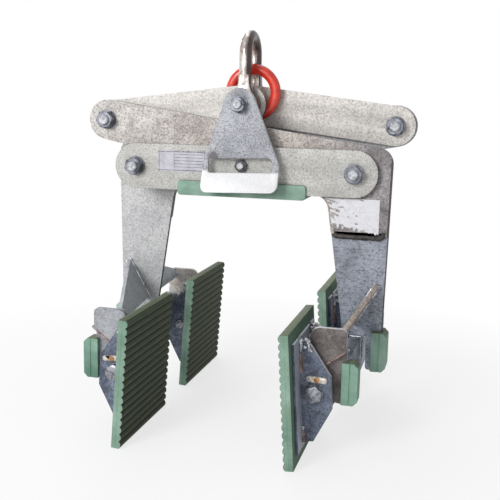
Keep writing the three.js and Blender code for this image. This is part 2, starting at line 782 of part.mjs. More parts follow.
function addHead(clamp) {
  const head = place(clamp, 0, 0, topPinRise);
  add(head, 'top_pin', topPin(), 'bolt');
  const nut = washerAndNut(latchFront, topPinNeckRadius, topNutAcross, topWasherRadius, topNutHeight);
  add(head, 'top_nut', nut, 'bolt');
  const spacer = turned(
    [[latchRear + seat, topPinHeadRadius], [-eyeFace - seat, topPinHeadRadius]], topPinRadius + seat);
  add(head, 'top_spacer', spacer, 'dull');
  const linkFace = linkMid + linkThickness / 2 + seat;
  const eyeInside = shackleSpread / 2 - shackleEyeThickness / 2 - seat;
  for (const [end, facing] of [['front', -1], ['rear', 1]]) {
    const washer = turned(
      [[linkFace, linkWasherRadius], [eyeInside, linkWasherRadius]], topPinRadius + seat);
    add(head, `link_washer_${end}`, facing < 0 ? washer.rotateZ(Math.PI) : washer, 'dull');
  }
  add(head, 'shackle', shackle(), 'forged');
  const ringArm = place(head, 0, 0, 0);
  ringArm.rotation.y = THREE.MathUtils.degToRad(ringLean);
  add(ringArm, 'ring', ring(), 'red', [0, 0, ringOuterRadius - ringWire - topPinRadius - seat]);
  const latch = add(head, 'latch_plate', latchPlate(), 'galvanised', [0, -latchMid, 0]);
  latch.rotation.y = -THREE.MathUtils.degToRad(latchLean);
}

const clamp = new THREE.Group();
addFrame(clamp);
addArm(clamp, 'right', 0);
addArm(clamp, 'left', Math.PI);
addLinks(clamp);
addHead(clamp);
clamp.position.z = -(topPinRise + bowCentreRise + shackleSpread / 2 - shackleBar / 2);

export default clamp;
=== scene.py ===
import json
from functools import partial
from math import cos, fmod, hypot, pi, radians, sin, sqrt, tan
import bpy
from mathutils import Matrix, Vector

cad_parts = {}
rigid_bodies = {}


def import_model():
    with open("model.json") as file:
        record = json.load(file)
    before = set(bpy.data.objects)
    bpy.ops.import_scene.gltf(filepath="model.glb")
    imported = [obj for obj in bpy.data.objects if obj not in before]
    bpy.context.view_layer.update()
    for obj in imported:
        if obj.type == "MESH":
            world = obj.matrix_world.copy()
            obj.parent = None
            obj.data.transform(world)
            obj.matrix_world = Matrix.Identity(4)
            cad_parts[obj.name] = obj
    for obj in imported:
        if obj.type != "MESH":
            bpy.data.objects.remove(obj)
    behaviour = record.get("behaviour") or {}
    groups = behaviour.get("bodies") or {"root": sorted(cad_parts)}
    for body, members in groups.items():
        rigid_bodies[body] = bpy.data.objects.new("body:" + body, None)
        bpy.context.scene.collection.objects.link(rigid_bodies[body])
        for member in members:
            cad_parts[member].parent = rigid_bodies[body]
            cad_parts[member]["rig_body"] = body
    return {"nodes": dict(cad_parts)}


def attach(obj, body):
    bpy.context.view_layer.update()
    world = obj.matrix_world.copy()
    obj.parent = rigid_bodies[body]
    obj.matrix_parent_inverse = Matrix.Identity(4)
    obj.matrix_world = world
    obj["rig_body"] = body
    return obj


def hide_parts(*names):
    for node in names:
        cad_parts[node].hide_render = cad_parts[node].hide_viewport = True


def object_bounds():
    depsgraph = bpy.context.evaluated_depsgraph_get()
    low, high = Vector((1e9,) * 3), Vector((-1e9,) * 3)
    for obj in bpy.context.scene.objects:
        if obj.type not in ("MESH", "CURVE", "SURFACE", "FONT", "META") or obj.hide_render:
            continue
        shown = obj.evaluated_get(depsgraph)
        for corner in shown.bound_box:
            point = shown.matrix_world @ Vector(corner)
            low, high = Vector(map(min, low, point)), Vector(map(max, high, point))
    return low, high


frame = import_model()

from types import SimpleNamespace

import bmesh
import bpy
from bmesh import ops
from mathutils import Matrix, Vector, noise

for startName in ("Cube", "Light", "Camera"):
    startItem = bpy.data.objects.get(startName)
    if startItem:
        bpy.data.objects.remove(startItem)
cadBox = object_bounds()
scene = bpy.context.scene
mm = 0.001
sides = {"right": 1, "left": -1}
ends = {"front": -1, "rear": 1}
jawPlaces = [(side, end, f"{end}_{side}") for side in sides for end in ends]


# Node helpers for materials and Geometry Nodes: they add to the tree being built
building = {"tree": None}


def tone(code):
    parts = [int(code[i:i + 2], 16) / 255 for i in (0, 2, 4)]
    linear = [p / 12.92 if p <= 0.04045 else ((p + 0.055) / 1.055) ** 2.4 for p in parts]
    return (*linear, 1.0)


def feed(socket, value):
    if hasattr(value, "is_linked"):
        building["tree"].links.new(value, socket)
    else:
        socket.default_value = value


# A shader node is named without its prefix
def nodeOf(kind, sockets=None, **settings):
    prefix = "" if kind.startswith(("Geometry", "NodeGroup")) else "ShaderNode"
    node = building["tree"].nodes.new(prefix + kind)
    for key, value in settings.items():
        setattr(node, key, value)
    for key, value in (sockets or {}).items():
        feed(node.inputs[key], value)
    return node


def firstOf(kind, sockets=None, **settings):
    return nodeOf(kind, sockets, **settings).outputs[0]


def mathOf(operation, *values, clamp=False):
    return firstOf("Math", dict(enumerate(values)), operation=operation, use_clamp=clamp)


plus, minus, times, over, timesPlus, larger, below, above, size, fraction = (
    partial(mathOf, operation) for operation in (
        "ADD", "SUBTRACT", "MULTIPLY", "DIVIDE", "MULTIPLY_ADD", "MAXIMUM", "LESS_THAN", "GREATER_THAN",
        "ABSOLUTE", "FRACT"))


def combined(*parts):
    return firstOf("CombineXYZ", dict(enumerate(parts)))


def splitOf(vector):
    return nodeOf("SeparateXYZ", {0: vector}).outputs


def coordsOf(output):
    return nodeOf("TexCoord").outputs[output]


def newMaterial(name):
    material = bpy.data.materials.new(name)
    material.use_nodes = True
    building["tree"] = material.node_tree
    return material, material.node_tree.nodes["Principled BSDF"]


def mapped(shift=(0, 0, 0), stretch=(1, 1, 1)):
    return firstOf("Mapping", {"Location": shift, "Scale": stretch, "Vector": coordsOf("Object")})


def noiseOf(vector, scale, detail=4.0, roughness=0.6, distortion=0.0):
    return firstOf("TexNoise", {"Vector": vector, "Scale": scale, "Detail": detail,
        "Roughness": roughness, "Distortion": distortion})


# A stop is a place and a tone code, or a place and a grey level
def rampOf(value, *stops):
    node = nodeOf("ValToRGB", {"Fac": value})
    elements = node.color_ramp.elements
    while len(elements) < len(stops):
        elements.new(0.5)
    for element, (place, level) in zip(elements, stops):
        element.position = place
        element.color = tone(level) if isinstance(level, str) else (level, level, level, 1.0)
    return node.outputs["Color"]


def maskOf(value, start, end, amount=1.0):
    return rampOf(value, (start, 0.0), (end, amount))


def mixOf(mode, factor, first, second):
    return nodeOf("Mix", {0: factor, 6: first, 7: second}, data_type="RGBA",
        blend_type=mode).outputs[2]


def tinted(colour, mask, code):
    return mixOf("MIX", mask, colour, tone(code))


def dress(shader, sockets, height, strength, depth):
    bump = nodeOf("Bump", {"Height": height, "Strength": strength, "Distance": depth})
    for key, value in {**sockets, "Normal": bump.outputs["Normal"]}.items():
        feed(shader.inputs[key], value)


# Hot-dip zinc: broad blotches, fine speckle and a faint spangle, with cut edges tinted by facing (darker
# cut metal with painted shade, or a painted highlight) and optional painted light and shade: a dark band
# along an edge, a tone towards one end, a +X side and a bright lip
zincBase = {
    "shift": (0, 0, 0), "streak": (1, 1, 1), "blotch": 15, "grain": 0.3,
    "speckle": 250, "speckleAmount": 0.6, "spangle": 130, "spangleAmount": 0.25,
    "stain": "7d7468", "stainShare": 0.25, "edge": "2b2725", "edgeShare": 0.9, "edgeUp": 0.1,
    "halos": (), "haloTone": "8d7a64", "fade": (), "rim": None, "rimTone": "2a2728", "rimShare": 0.85,
    "shade": "000000", "shadeShare": 0.0, "lip": 0, "lipBlend": 6, "lipTones": ("cfd0d3", "e0e0e2"),
    "metal": 0.1, "roughLow": 0.5, "roughHigh": 0.72, "bump": 0.22, "bumpDepth": 0.0006,
}


def zincFinish(name, light, dark, **changes):
    look = SimpleNamespace(**{**zincBase, **changes})
    material, shader = newMaterial(name)
    vector = mapped(look.shift)
    place, facing = splitOf(coordsOf("Object")), splitOf(coordsOf("Normal"))
    blotch = noiseOf(vector, look.blotch, 3, 0.62, 0.4)
    flecks = noiseOf(vector, look.blotch * 4.5, 6, 0.7, 0.6)
    patch = plus(times(blotch, 0.6), times(flecks, 0.4))
    colour = rampOf(patch, (0.4, dark), (0.58, light))
    speckle = noiseOf(mapped(look.shift, look.streak), look.speckle, 3, 0.7)
    grain = rampOf(speckle, (0.38, 1 - look.grain), (0.48, 0.93), (0.62, 1.06))
    colour = mixOf("MULTIPLY", 1.0, colour, grain)
    cluster = noiseOf(vector, look.blotch * 0.8, 3, 0.6)
    pits = noiseOf(vector, look.speckle * 0.75, 4, 0.8)
    pitMask = times(rampOf(cluster, (0.42, 0.12), (0.62, 1.0)),
        maskOf(pits, 0.54, 0.63, look.speckleAmount))
    colour = tinted(colour, pitMask, look.stain)
    cells = nodeOf("TexVoronoi", {"Vector": vector, "Scale": look.spangle})
    cellTone = firstOf("SeparateColor", {"Color": cells.outputs["Color"]})
    colour = mixOf("MULTIPLY", look.spangleAmount, colour, rampOf(cellTone, (0.0, 0.7), (1.0, 1.0)))
    stain = noiseOf(vector, look.blotch * 3.1, 6, 0.75, 1.2)
    colour = tinted(colour, maskOf(stain, 0.56, 0.72, look.stainShare), look.stain)
    for haloX, haloZ, radius, amount in look.halos:  # grease and rust round a bolt
        offset = firstOf("VectorMath", {0: coordsOf("Object"), 1: (1, 0, 1),
            2: (-haloX * mm, 0, -haloZ * mm)}, operation="MULTIPLY_ADD")
        reach = nodeOf("VectorMath", {0: offset}, operation="LENGTH").outputs["Value"]
        ragged = plus(over(reach, radius * mm), times(stain, 0.5))
        colour = tinted(colour, rampOf(ragged, (0.72, amount), (1.0, 0.0)), look.haloTone)
    for axis, start, end, code, amount in look.fade:  # painted light and shade: a darker tone multiplied in towards one end
        share = timesPlus(place[axis], 1 / ((end - start) * mm), -start / (end - start), clamp=True)
        share = times(share, times(stain, 2 * amount), clamp=True)
        colour = mixOf("MULTIPLY", share, colour, tone(code))
    if look.rim:  # painted shade: a dark band along a leaning cut edge, where its side face lies in shade
        reach, lean, width = look.rim
        edgeLine = timesPlus(place["Z"], lean, (reach - width) * mm)
        beyond = above(minus(place["X"], edgeLine), 0.0)
        colour = tinted(colour, times(beyond, look.rimShare), look.rimTone)
    # Cut faces take the edge tone by facing: full share where not turned up, the edgeUp share where
    # turned up. A dark tone is partly the darker cut metal, partly painted shade; a pale tone is a
    # painted highlight
    cutFace = below(size(facing["Y"]), 0.4)
    notUp = rampOf(facing["Z"], (0.2, look.edgeShare), (0.6, look.edgeUp))
    colour = tinted(colour, times(cutFace, notUp), look.edge)
    if look.shadeShare:  # painted shade on the side turned to +X
        colour = tinted(colour, maskOf(facing["X"], 0.0, 0.5, look.shadeShare), look.shade)
    if look.lip:  # painted highlight on the lip below a level, which turns up to the light
        share = timesPlus(place["Z"], -1 / (look.lipBlend * mm), look.lip / look.lipBlend, clamp=True)
        colour = mixOf("MIX", share, colour, rampOf(speckle, *zip((0.3, 0.5), look.lipTones)))
    rough = rampOf(speckle, (0.3, look.roughHigh), (0.7, look.roughLow))
    height = plus(speckle, times(blotch, 1.5))
    dress(shader, {"Base Color": colour, "Metallic": look.metal, "Roughness": rough}, height,
        look.bump, look.bumpDepth)
    return material


# Moulded rubber: dusty green, darker in its ribs, scuffed pale along worn patches; painted shade on back
# faces, in rib grooves and low on the pad
rubberBase = {
    "light": "86a292", "dark": "64806f", "dust": "a9b8aa", "dustShare": 0.3, "blotch": 11, "grain": 260,
    "topTone": "5d6044", "topShare": 0.75, "backTone": "44604f", "backShare": 0.0, "shift": (0, 0, 0),
    "roughness": 0.72, "specular": 0.35, "bump": 0.18, "bumpDepth": 0.0004,
}
ribLook = SimpleNamespace(
    tone="3e4831", worn="586350", groove="15190f", dirt="23261e", seam="3f5a4c", streak=(1, 0.25, 1.6),
    streakScale=90, seamAt=0.0012, seamHalf=0.0006, seamShare=0.35, lowerShadeSlope=-4.0, lowerShadeStart=-2.5)


def ribColours(colour, shift):
    ribSide, groove, depth = (nodeOf("Attribute", attribute_name=label).outputs["Fac"]
        for label in ("ribSide", "groove", "depth"))
    streak = noiseOf(mapped(shift, ribLook.streak), ribLook.streakScale, 5, 0.7)
    ribs = tinted(tone(ribLook.tone), maskOf(streak, 0.4, 0.7, 0.45), ribLook.worn)
    # Painted shade in the rib grooves
    ribs = tinted(ribs, maskOf(groove, 0.3, 0.8, 0.85), ribLook.groove)
    # Painted shade, darker low on the pad: from 0 high on the pad to 1 low on it
    dirt = timesPlus(splitOf(coordsOf("Object"))["Z"], ribLook.lowerShadeSlope, ribLook.lowerShadeStart)
    ribs = tinted(ribs, maskOf(dirt, 0.1, 1.0, 0.45), ribLook.dirt)
    colour = mixOf("MIX", ribSide, colour, ribs)
    fromSeam = size(minus(depth, ribLook.seamAt))
    seam = below(fromSeam, ribLook.seamHalf)
    return tinted(colour, times(seam, ribLook.seamShare), ribLook.seam)


def rubberFinish(name, ribbed=False, **changes):
    look = SimpleNamespace(**{**rubberBase, **changes})
    material, shader = newMaterial(name)
    vector, facing = mapped(look.shift), splitOf(coordsOf("Normal"))
    blotch = noiseOf(vector, look.blotch, 4, 0.6, 0.3)
    colour = rampOf(blotch, (0.35, look.dark), (0.65, look.light))
    grain = noiseOf(vector, look.grain, 4, 0.7)
    colour = mixOf("MULTIPLY", 0.4, colour, rampOf(grain, (0.35, 0.72), (0.6, 1.0)))
    dust = noiseOf(vector, look.blotch * 4, 6, 0.72, 0.8)
    colour = tinted(colour, maskOf(dust, 0.52, 0.7, look.dustShare), look.dust)
    # Painted shade on the faces turned along X, the pad's back
    back = maskOf(size(facing["X"]), 0.5, 0.8, look.backShare)
    colour = tinted(colour, back, look.backTone)
    colour = tinted(colour, maskOf(facing["Z"], 0.4, 0.75, look.topShare), look.topTone)
    if ribbed:
        colour = ribColours(colour, look.shift)
    dress(shader, {"Base Color": colour, "Roughness": look.roughness,
        "Specular IOR Level": look.specular}, grain, look.bump, look.bumpDepth)
    return material


# Bright machined steel for bolts, nuts and pins
def steelFinish(name, light, dark, rough=0.34, metal=0.75, rust=0.0, scale=60, shift=(0, 0, 0)):
    material, shader = newMaterial(name)
    vector = mapped(shift)
    patch = noiseOf(vector, scale, 5, 0.65, 0.3)
    rustNoise = noiseOf(vector, scale * 1.7, 6, 0.75, 0.6)
    colour = tinted(rampOf(patch, (0.35, dark), (0.65, light)), maskOf(rustNoise, 0.5, 0.68, rust),
        "8a5a38")
    roughness = rampOf(patch, (0.2, rough + 0.15), (0.8, rough - 0.1))
    dress(shader, {"Base Color": colour, "Metallic": metal, "Roughness": roughness}, rustNoise, 0.15,
        0.0003)
    return material


# Worn red lacquer on the ring
def lacquerFinish(name, fresh, worn):
    material, shader = newMaterial(name)
    vector = mapped()
    patch = noiseOf(vector, 45, 5, 0.6, 0.5)
    chips = noiseOf(vector, 240, 4, 0.7)
    colour = tinted(rampOf(patch, (0.4, fresh), (0.62, worn)), maskOf(chips, 0.66, 0.7, 0.55), "6b3a30")
    dress(shader, {"Base Color": colour, "Roughness": 0.32, "Coat Weight": 0.3}, patch, 0.12, 0.0005)
    return material


print("stage: finishes")
boltHalos = ((-332, -181, 34, 0.32), (332, -181, 34, 0.32), (-255, -285, 33, 0.3), (255, -285, 33, 0.3))
latchStains = ((-60, -258, 22, 0.75), (62, -262, 16, 0.5), (0, -118, 30, 0.35))
armEdgeLine = (340.6, 0.01745)  # its reach at the origin and its lean
finishes = {
    "beam": zincFinish("beamZinc", "c2c1bd", "aeada9", shift=(3, 0, 1), halos=boltHalos, stain="6b655f",
        grain=0.42),
    # Lever: painted shade in a dark band along its right edge, and painted light and shade along X:
    # lighter at the left end, darker towards the right
    "lever": zincFinish("leverZinc", "d0ccc8", "a6a09c", shift=(1, 2, 7), halos=boltHalos, blotch=13,
        speckleAmount=0.95, stainShare=0.35, stain="62544d", grain=0.5, rim=(*armEdgeLine, 3.4),
        fade=((0, -190, -90, "dcd2cd", 0.6), (0, 150, 290, "cfd2df", 0.85))),
    "leftArm": zincFinish("leftArmZinc", "c3c3c4", "b4b4b7", shift=(5, 4, 2), halos=boltHalos,
        speckleAmount=0.35, stainShare=0.12, grain=0.36),
    # Right leg: painted shade in a dark band along its right edge, and a darker tone above z = -520 so
    # its low part reads lit, painted light
    "rightLeg": zincFinish("rightLegZinc", "b1b9c8", "8c929f", shift=(9, 2, 3), halos=boltHalos,
        blotch=12, stain="555660", stainShare=0.3, grain=0.55, streak=(0.75, 1, 1.15),
        rim=(*armEdgeLine, 2.2), fade=((2, -650, -520, "cdc7c4", 0.6),)),
    "link": zincFinish("linkZinc", "d2cec9", "c6c2bd", shift=(8, 1, 4), halos=boltHalos, blotch=10,
        speckleAmount=0.3, stainShare=0.12, grain=0.36),
    "carrier": zincFinish("carrierZinc", "a9b2c2", "6f7889", shift=(2, 9, 3), edgeShare=0.0),
    # End plates: copies of one zinc at three brightnesses. The dark right-hand pair is painted shade, its
    # pale top edges a painted highlight; the light rear-left one is painted light
    "endPlate": zincFinish("endPlateZinc", "77716f", "524c4a", shift=(4, 4, 9), blotch=22, metal=0.3,
        stain="5a4c44", stainShare=0.4, edge="c9c8cc", edgeShare=0.5, edgeUp=0.9),
    "endPlateLeft": zincFinish("endPlateLeftZinc", "a5a7ac", "8a8c92", shift=(3, 4, 5), blotch=18,
        speckleAmount=0.4, edge="5a5658", edgeShare=0.6),
    "endPlateRear": zincFinish("endPlateRearZinc", "e9e2dc", "c5bdb6", shift=(3, 7, 5), blotch=18,
        speckleAmount=0.4, edge="a9a09a", edgeShare=0.5),
    # Right gussets: the dark edge tone on their side faces is painted shade, leaving the light base on
    # their lit free edge
    "gusset": zincFinish("gussetZinc", "d8cdc2", "9a877a", shift=(7, 3, 1), blotch=40, edge="6a5a5c",
        edgeShare=0.55, speckleAmount=0.7, stain="6f4f3c", stainShare=0.5),
    "gussetLeft": zincFinish("gussetLeftZinc", "c9cdd3", "a6aab1", shift=(7, 1, 1), blotch=24,
        edge="b9bdc4", edgeShare=0.6, speckleAmount=0.5),
    # Pad backs: the pale edge tone is a painted highlight on their top edges
    "padBack": zincFinish("padBackZinc", "757e8f", "4a5262", shift=(1, 6, 5), blotch=26, metal=0.4,
        stain="3e3c44", stainShare=0.3, grain=0.5, edge="e2e8f2", edgeShare=0.3, edgeUp=0.95),
    # Latch: painted highlight on its lip and, by the pale edge tone, on its top edges
    "latch": zincFinish("latchZinc", "aeb0b6", "94969d", shift=(6, 6, 6), blotch=19, metal=0.15,
        stain="5f5a5c", stainShare=0.3, grain=0.55, speckleAmount=0.7, lip=-284, edge="d8d9dc",
        edgeShare=0.4, edgeUp=0.9, halos=latchStains, haloTone="4d4648"),
    # Shackle: painted shade on its side turned to +X
    "shackle": zincFinish("shackleForged", "ebe5e1", "9c9089", blotch=34, edgeShare=0.0, metal=0.55,
        stain="5f4636", stainShare=0.3, speckleAmount=0.25, roughLow=0.16, roughHigh=0.38,
        shade="33231f", shadeShare=0.93),
    # Pad rubber: painted shade on its back faces, and in its ribs' grooves and low down
    "padRubber": rubberFinish("padRubber", ribbed=True, backShare=0.8),
    "blockRubber": rubberFinish("blockRubber", light="7fa08f", dark="587b6b", shift=(3, 1, 2)),
    # A lighter copy of the block rubber for the leg blocks: painted light where they stand in shade
    "litRubber": rubberFinish("litRubber", light="a3c2b2", dark="7aa08e", shift=(3, 4, 2)),
    "saddleRubber": rubberFinish("saddleRubber", light="92ae9f", dark="708f80", shift=(5, 2, 8)),
    "bolt": steelFinish("boltSteel", "bbbdc1", "7b7d82", rough=0.5, metal=0.45, scale=160),
    "nut": steelFinish("nutSteel", "8b8e97", "3c3e45", rough=0.36, shift=(2, 2, 0)),
    "darkNut": steelFinish("darkNutSteel", "55565a", "1f1f22", rough=0.4, rust=0.3, scale=140, metal=0.5),
    "washer": steelFinish("washerSteel", "c9ccd2", "8d9098", rough=0.3, shift=(1, 3, 0)),
    "pin": steelFinish("pinSteel", "a3a5ac", "4f525a", rough=0.4, rust=0.15, scale=150),
    "keeper": steelFinish("keeperSteel", "ded8cc", "8f8a84", rough=0.45, rust=0.2, scale=130, metal=0.3),
    "screw": steelFinish("screwSteel", "b98a55", "6a3f1f", rough=0.5, rust=0.8, scale=200, metal=0.2),
    "sleeve": steelFinish("sleeveSteel", "b8babf", "77797f", rough=0.45),
    "weld": zincFinish("weldZinc", "dfe2e8", "6a6c74", blotch=70, speckle=420, edgeShare=0.0, metal=0.6,
        roughLow=0.2, roughHigh=0.45, bump=0.4),
    "darkWeld": zincFinish("lapWeldZinc", "4d4844", "141211", blotch=42, speckle=380, edgeShare=0.0,
        metal=0.2, bump=0.45, stain="2a201a", stainShare=0.6),
    "rustWeld": zincFinish("rustWeldZinc", "b39a94", "61443f", blotch=90, speckle=380, edgeShare=0.0,
        metal=0.3, bump=0.45, stain="6e4a3a", stainShare=0.5),
    "ring": lacquerFinish("ringLacquer", "e23a22", "c22a18"),
}


# Geometry Nodes helpers

# Inputs are given as lists of names, one list for each kind of socket
def newTree(name, **inputs):
    tree = building["tree"] = bpy.data.node_groups.new(name, "GeometryNodeTree")
    for kind, labels in inputs.items():
        for label in labels.split(", "):
            tree.interface.new_socket(label, in_out="INPUT", socket_type=f"NodeSocket{kind}")
    tree.interface.new_socket("Geometry", in_out="OUTPUT", socket_type="NodeSocketGeometry")
    return nodeOf("NodeGroupInput").outputs


def closeTree(geometry, material, smooth=True):
    whole = firstOf("GeometryNodeRealizeInstances", {0: geometry})
    shaded = firstOf("GeometryNodeSetShadeSmooth", {0: whole, "Shade Smooth": smooth})
    finish = firstOf("GeometryNodeSetMaterial", {"Geometry": shaded, "Material": material})
    nodeOf("NodeGroupOutput", {0: finish})
    return building["tree"]


def objectOf(name, data, material=None):
    made = bpy.data.objects.new(name, data)
    scene.collection.objects.link(made)
    if material:
        data.materials.clear()
        data.materials.append(material)
    return made


def runTree(name, tree, values):
    holder = objectOf(name, bpy.data.meshes.new(name))
    modifier = holder.modifiers.new("made", "NODES")
    modifier.node_group = tree
    for item in tree.interface.items_tree:
        if item.item_type == "SOCKET" and item.in_out == "INPUT":
            modifier[item.identifier] = values[item.name]
    graph = bpy.context.evaluated_depsgraph_get()
    made = bpy.data.meshes.new_from_object(holder.evaluated_get(graph), preserve_all_data_layers=True,
        depsgraph=graph)
    holder.modifiers.clear()
    holder.data = made
    return holder


def infoOf(source):
    return nodeOf("GeometryNodeObjectInfo", {"Object": source}).outputs["Geometry"]


def copiesOf(places, instance):
    points = firstOf("GeometryNodeMeshToPoints", {"Mesh": infoOf(places)})
    return firstOf("GeometryNodeInstanceOnPoints", {"Points": points, "Instance": instance})


# Ribbed rubber pad: a block whose working face swells into even ribs
def ribTree():
    values = newTree("ribbedPad", Int="Rib count, Steps, Steps along", Material="Finish",
        Float="Height, Length, Thickness, Rib depth, Rib power, Waviness, Wave scale")
    block = firstOf("GeometryNodeMeshCube", {
        "Size": combined(values["Thickness"], values["Length"], values["Height"]),
        "Vertices X": 2, "Vertices Y": values["Steps along"],
        "Vertices Z": timesPlus(values["Rib count"], values["Steps"], 1)})
    place = splitOf(firstOf("GeometryNodeInputPosition"))
    pitch = over(values["Height"], values["Rib count"])
    fromFoot = plus(place[2], times(values["Height"], 0.5))
    turn = fraction(over(fromFoot, pitch))
    fromCrest = times(minus(turn, 0.5), 2.0)
    sink = mathOf("POWER", size(fromCrest), values["Rib power"])
    wave = firstOf("TexNoise", {"Scale": values["Wave scale"]})
    wear = times(minus(wave, 0.5), values["Waviness"])
    depth = plus(times(sink, values["Rib depth"]), size(wear))
    geometry = firstOf("GeometryNodeSetPosition", {"Geometry": block,
        "Selection": below(place[0], 0.0), "Offset": combined(depth)})
    facing = splitOf(firstOf("GeometryNodeInputNormal"))
    for name, domain, value in (
            ("ribSide", "FACE", below(facing[0], -0.2)),
            ("groove", "POINT", sink), ("depth", "POINT", place[0])):
        geometry = firstOf("GeometryNodeStoreNamedAttribute", {"Geometry": geometry, "Name": name,
            "Value": value}, data_type="FLOAT", domain=domain)
    return closeTree(geometry, values["Finish"], smooth=False)


# Weld bead: a lumpy, rippled rope of metal along every line of a path mesh
def beadTree():
    values = newTree("weldBead", Object="Path", Int="Round steps", Material="Finish",
        Float="Width, Ripple, Lumps, Lump scale, Spacing")
    lines = firstOf("GeometryNodeMeshToCurve", {0: infoOf(values["Path"])})
    even = firstOf("GeometryNodeResampleCurve", {"Curve": lines, "Length": over(values["Spacing"], 3.0)},
        mode="LENGTH")
    along = nodeOf("GeometryNodeSplineParameter").outputs["Length"]
    step = fraction(over(along, values["Spacing"]))
    ripple = times(step, values["Ripple"])
    lumps = firstOf("TexNoise", {"Scale": values["Lump scale"]})
    swell = times(minus(lumps, 0.5), values["Lumps"])
    share = plus(plus(ripple, swell), 0.9)
    section = firstOf("GeometryNodeCurvePrimitiveCircle", {"Resolution": values["Round steps"],
        "Radius": 1.0})
    rope = firstOf("GeometryNodeCurveToMesh", {"Curve": even,
        "Profile Curve": section, "Fill Caps": True,
        "Scale": times(share, times(values["Width"], 0.5))})
    return closeTree(rope, values["Finish"])


# Fasteners: one finished item set on every point of a carrier mesh
def fastenerTree():
    values = newTree("fastenerSet", Object="Places, Item", Material="Finish")
    copies = copiesOf(values["Places"], infoOf(values["Item"]))
    return closeTree(copies, values["Finish"], smooth=False)


# Thread: a helical ridge set on every bolt end
def threadTree():
    values = newTree("boltThread", Object="Places", Int="Round steps", Material="Finish",
        Float="Radius, Turns, Pitch")
    helix = firstOf("GeometryNodeCurveSpiral", {"Resolution": values["Round steps"],
        "Rotations": values["Turns"], "Start Radius": values["Radius"],
        "End Radius": values["Radius"], "Height": times(values["Turns"], values["Pitch"])})
    ridge = firstOf("GeometryNodeCurvePrimitiveCircle", {"Resolution": 4,
        "Radius": times(values["Pitch"], 0.42)})
    body = firstOf("GeometryNodeCurveToMesh", {"Curve": helix,
        "Profile Curve": ridge, "Fill Caps": True})
    laid = firstOf("GeometryNodeTransform", {"Geometry": body, "Rotation": (pi / 2, 0, 0)})
    return closeTree(copiesOf(values["Places"], laid), values["Finish"])


# Mesh helpers, in millimetres until the mesh is written

def written(name, shape):
    mesh = bpy.data.meshes.new(name)
    shape.to_mesh(mesh)
    shape.free()
    return mesh


def meshOf(name, shape, smooth=True):
    ops.recalc_face_normals(shape, faces=shape.faces)
    ops.scale(shape, vec=(mm, mm, mm), verts=shape.verts)
    for face in shape.faces:
        face.smooth = smooth
    return written(name, shape)


def pieceOf(name, shape, finish, smooth=True):
    return objectOf(name, meshOf(name, shape, smooth), finishes[finish])


def pathObject(name, lines):
    mesh = bpy.data.meshes.new(name)
    points, edges = [], []
    for line in lines:
        start = len(points)
        points += [tuple(c * mm for c in point) for point in line]
        edges += [(start + i, start + i + 1) for i in range(len(line) - 1)]
    mesh.from_pydata(points, edges, [])
    return objectOf(name, mesh)


# Faces between two rings of the same direction, whose ends meet
def skin(shape, first, second, steps):
    for i in range(steps):
        j = (i + 1) % steps
        ring = [first[i % len(first)], first[j % len(first)], second[j % len(second)],
            second[i % len(second)]]
        shape.faces.new(list(dict.fromkeys(ring)))


def revolve(shape, profile, steps, centre=(0, 0), closed=False):
    rings = []
    angles = [2 * pi * i / steps for i in range(steps)]
    for along, radius in profile:
        rings.append([shape.verts.new((centre[0] + radius * cos(a), along,
            centre[1] + radius * sin(a))) for a in (angles if radius else angles[:1])])
    for first, second in list(zip(rings, rings[1:])) + ([(rings[-1], rings[0])] if closed else []):
        skin(shape, first, second, steps)


def lathed(work):
    shape = bmesh.new()
    revolve(shape, work["profile"], work["steps"], work["axis"])
    return shape


# Hexagon with its faces chamfered by a cone, as a nut or a bolt head has
def hexagon(shape, across, low, high, bore, phase, lowChamfer=True):
    steps, coneAngle, coneShare = 48, radians(30), 0.97
    flat = across / 2
    coneRadius = flat * coneShare
    rings = [[] for _ in range(6 if bore else 4)]
    for i in range(steps):
        angle = 2 * pi * i / steps
        reach = flat / cos(fmod(angle, pi / 3) - pi / 6)
        drop = max(0.0, reach - coneRadius) * tan(coneAngle)
        levels = [(high, bore), (high, coneRadius), (high - drop, reach),
            (low + (drop if lowChamfer else 0.0), reach),
            (low, coneRadius if lowChamfer else reach * 0.999), (low, bore)]
        for ring, (along, radius) in zip(rings, levels if bore else levels[1:5]):
            ring.append(shape.verts.new((radius * cos(angle + phase), along,
                radius * sin(angle + phase))))
    for first, second in zip(rings, rings[1:] + rings[:1] if bore else rings[1:]):
        skin(shape, first, second, steps)
    if not bore:
        shape.faces.new(rings[0])
        shape.faces.new(rings[-1])


def standsFor(piece, body, slot, *nodes):
    if nodes:
        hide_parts(*nodes)
    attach(piece, body)


flatAngle = radians(1)


def merged(nodeName):
    shape = bmesh.new()
    shape.from_mesh(frame["nodes"][nodeName].data)
    ops.remove_doubles(shape, verts=shape.verts, dist=0.02 * mm)
    ops.dissolve_limit(shape, angle_limit=flatAngle, verts=shape.verts, edges=shape.edges)
    ops.recalc_face_normals(shape, faces=shape.faces)
    return shape


def mergedPiece(name, nodeName, finish):
    return objectOf(name, written(name, merged(nodeName)), finishes[finish])


def softenEdges(piece, width, segments=2, angle=35):
    for polygon in piece.data.polygons:
        polygon.use_smooth = True
    bevel = piece.modifiers.new("softEdges", "BEVEL")
    bevel.width = width * mm
    bevel.segments = segments
    bevel.limit_method = "ANGLE"
    bevel.angle_limit = radians(angle)
    bevel.harden_normals = True
    bevel.use_clamp_overlap = True


def pieceName(nodeName):
    first, *others = nodeName.split("_")
    return first + "".join(word.capitalize() for word in others)


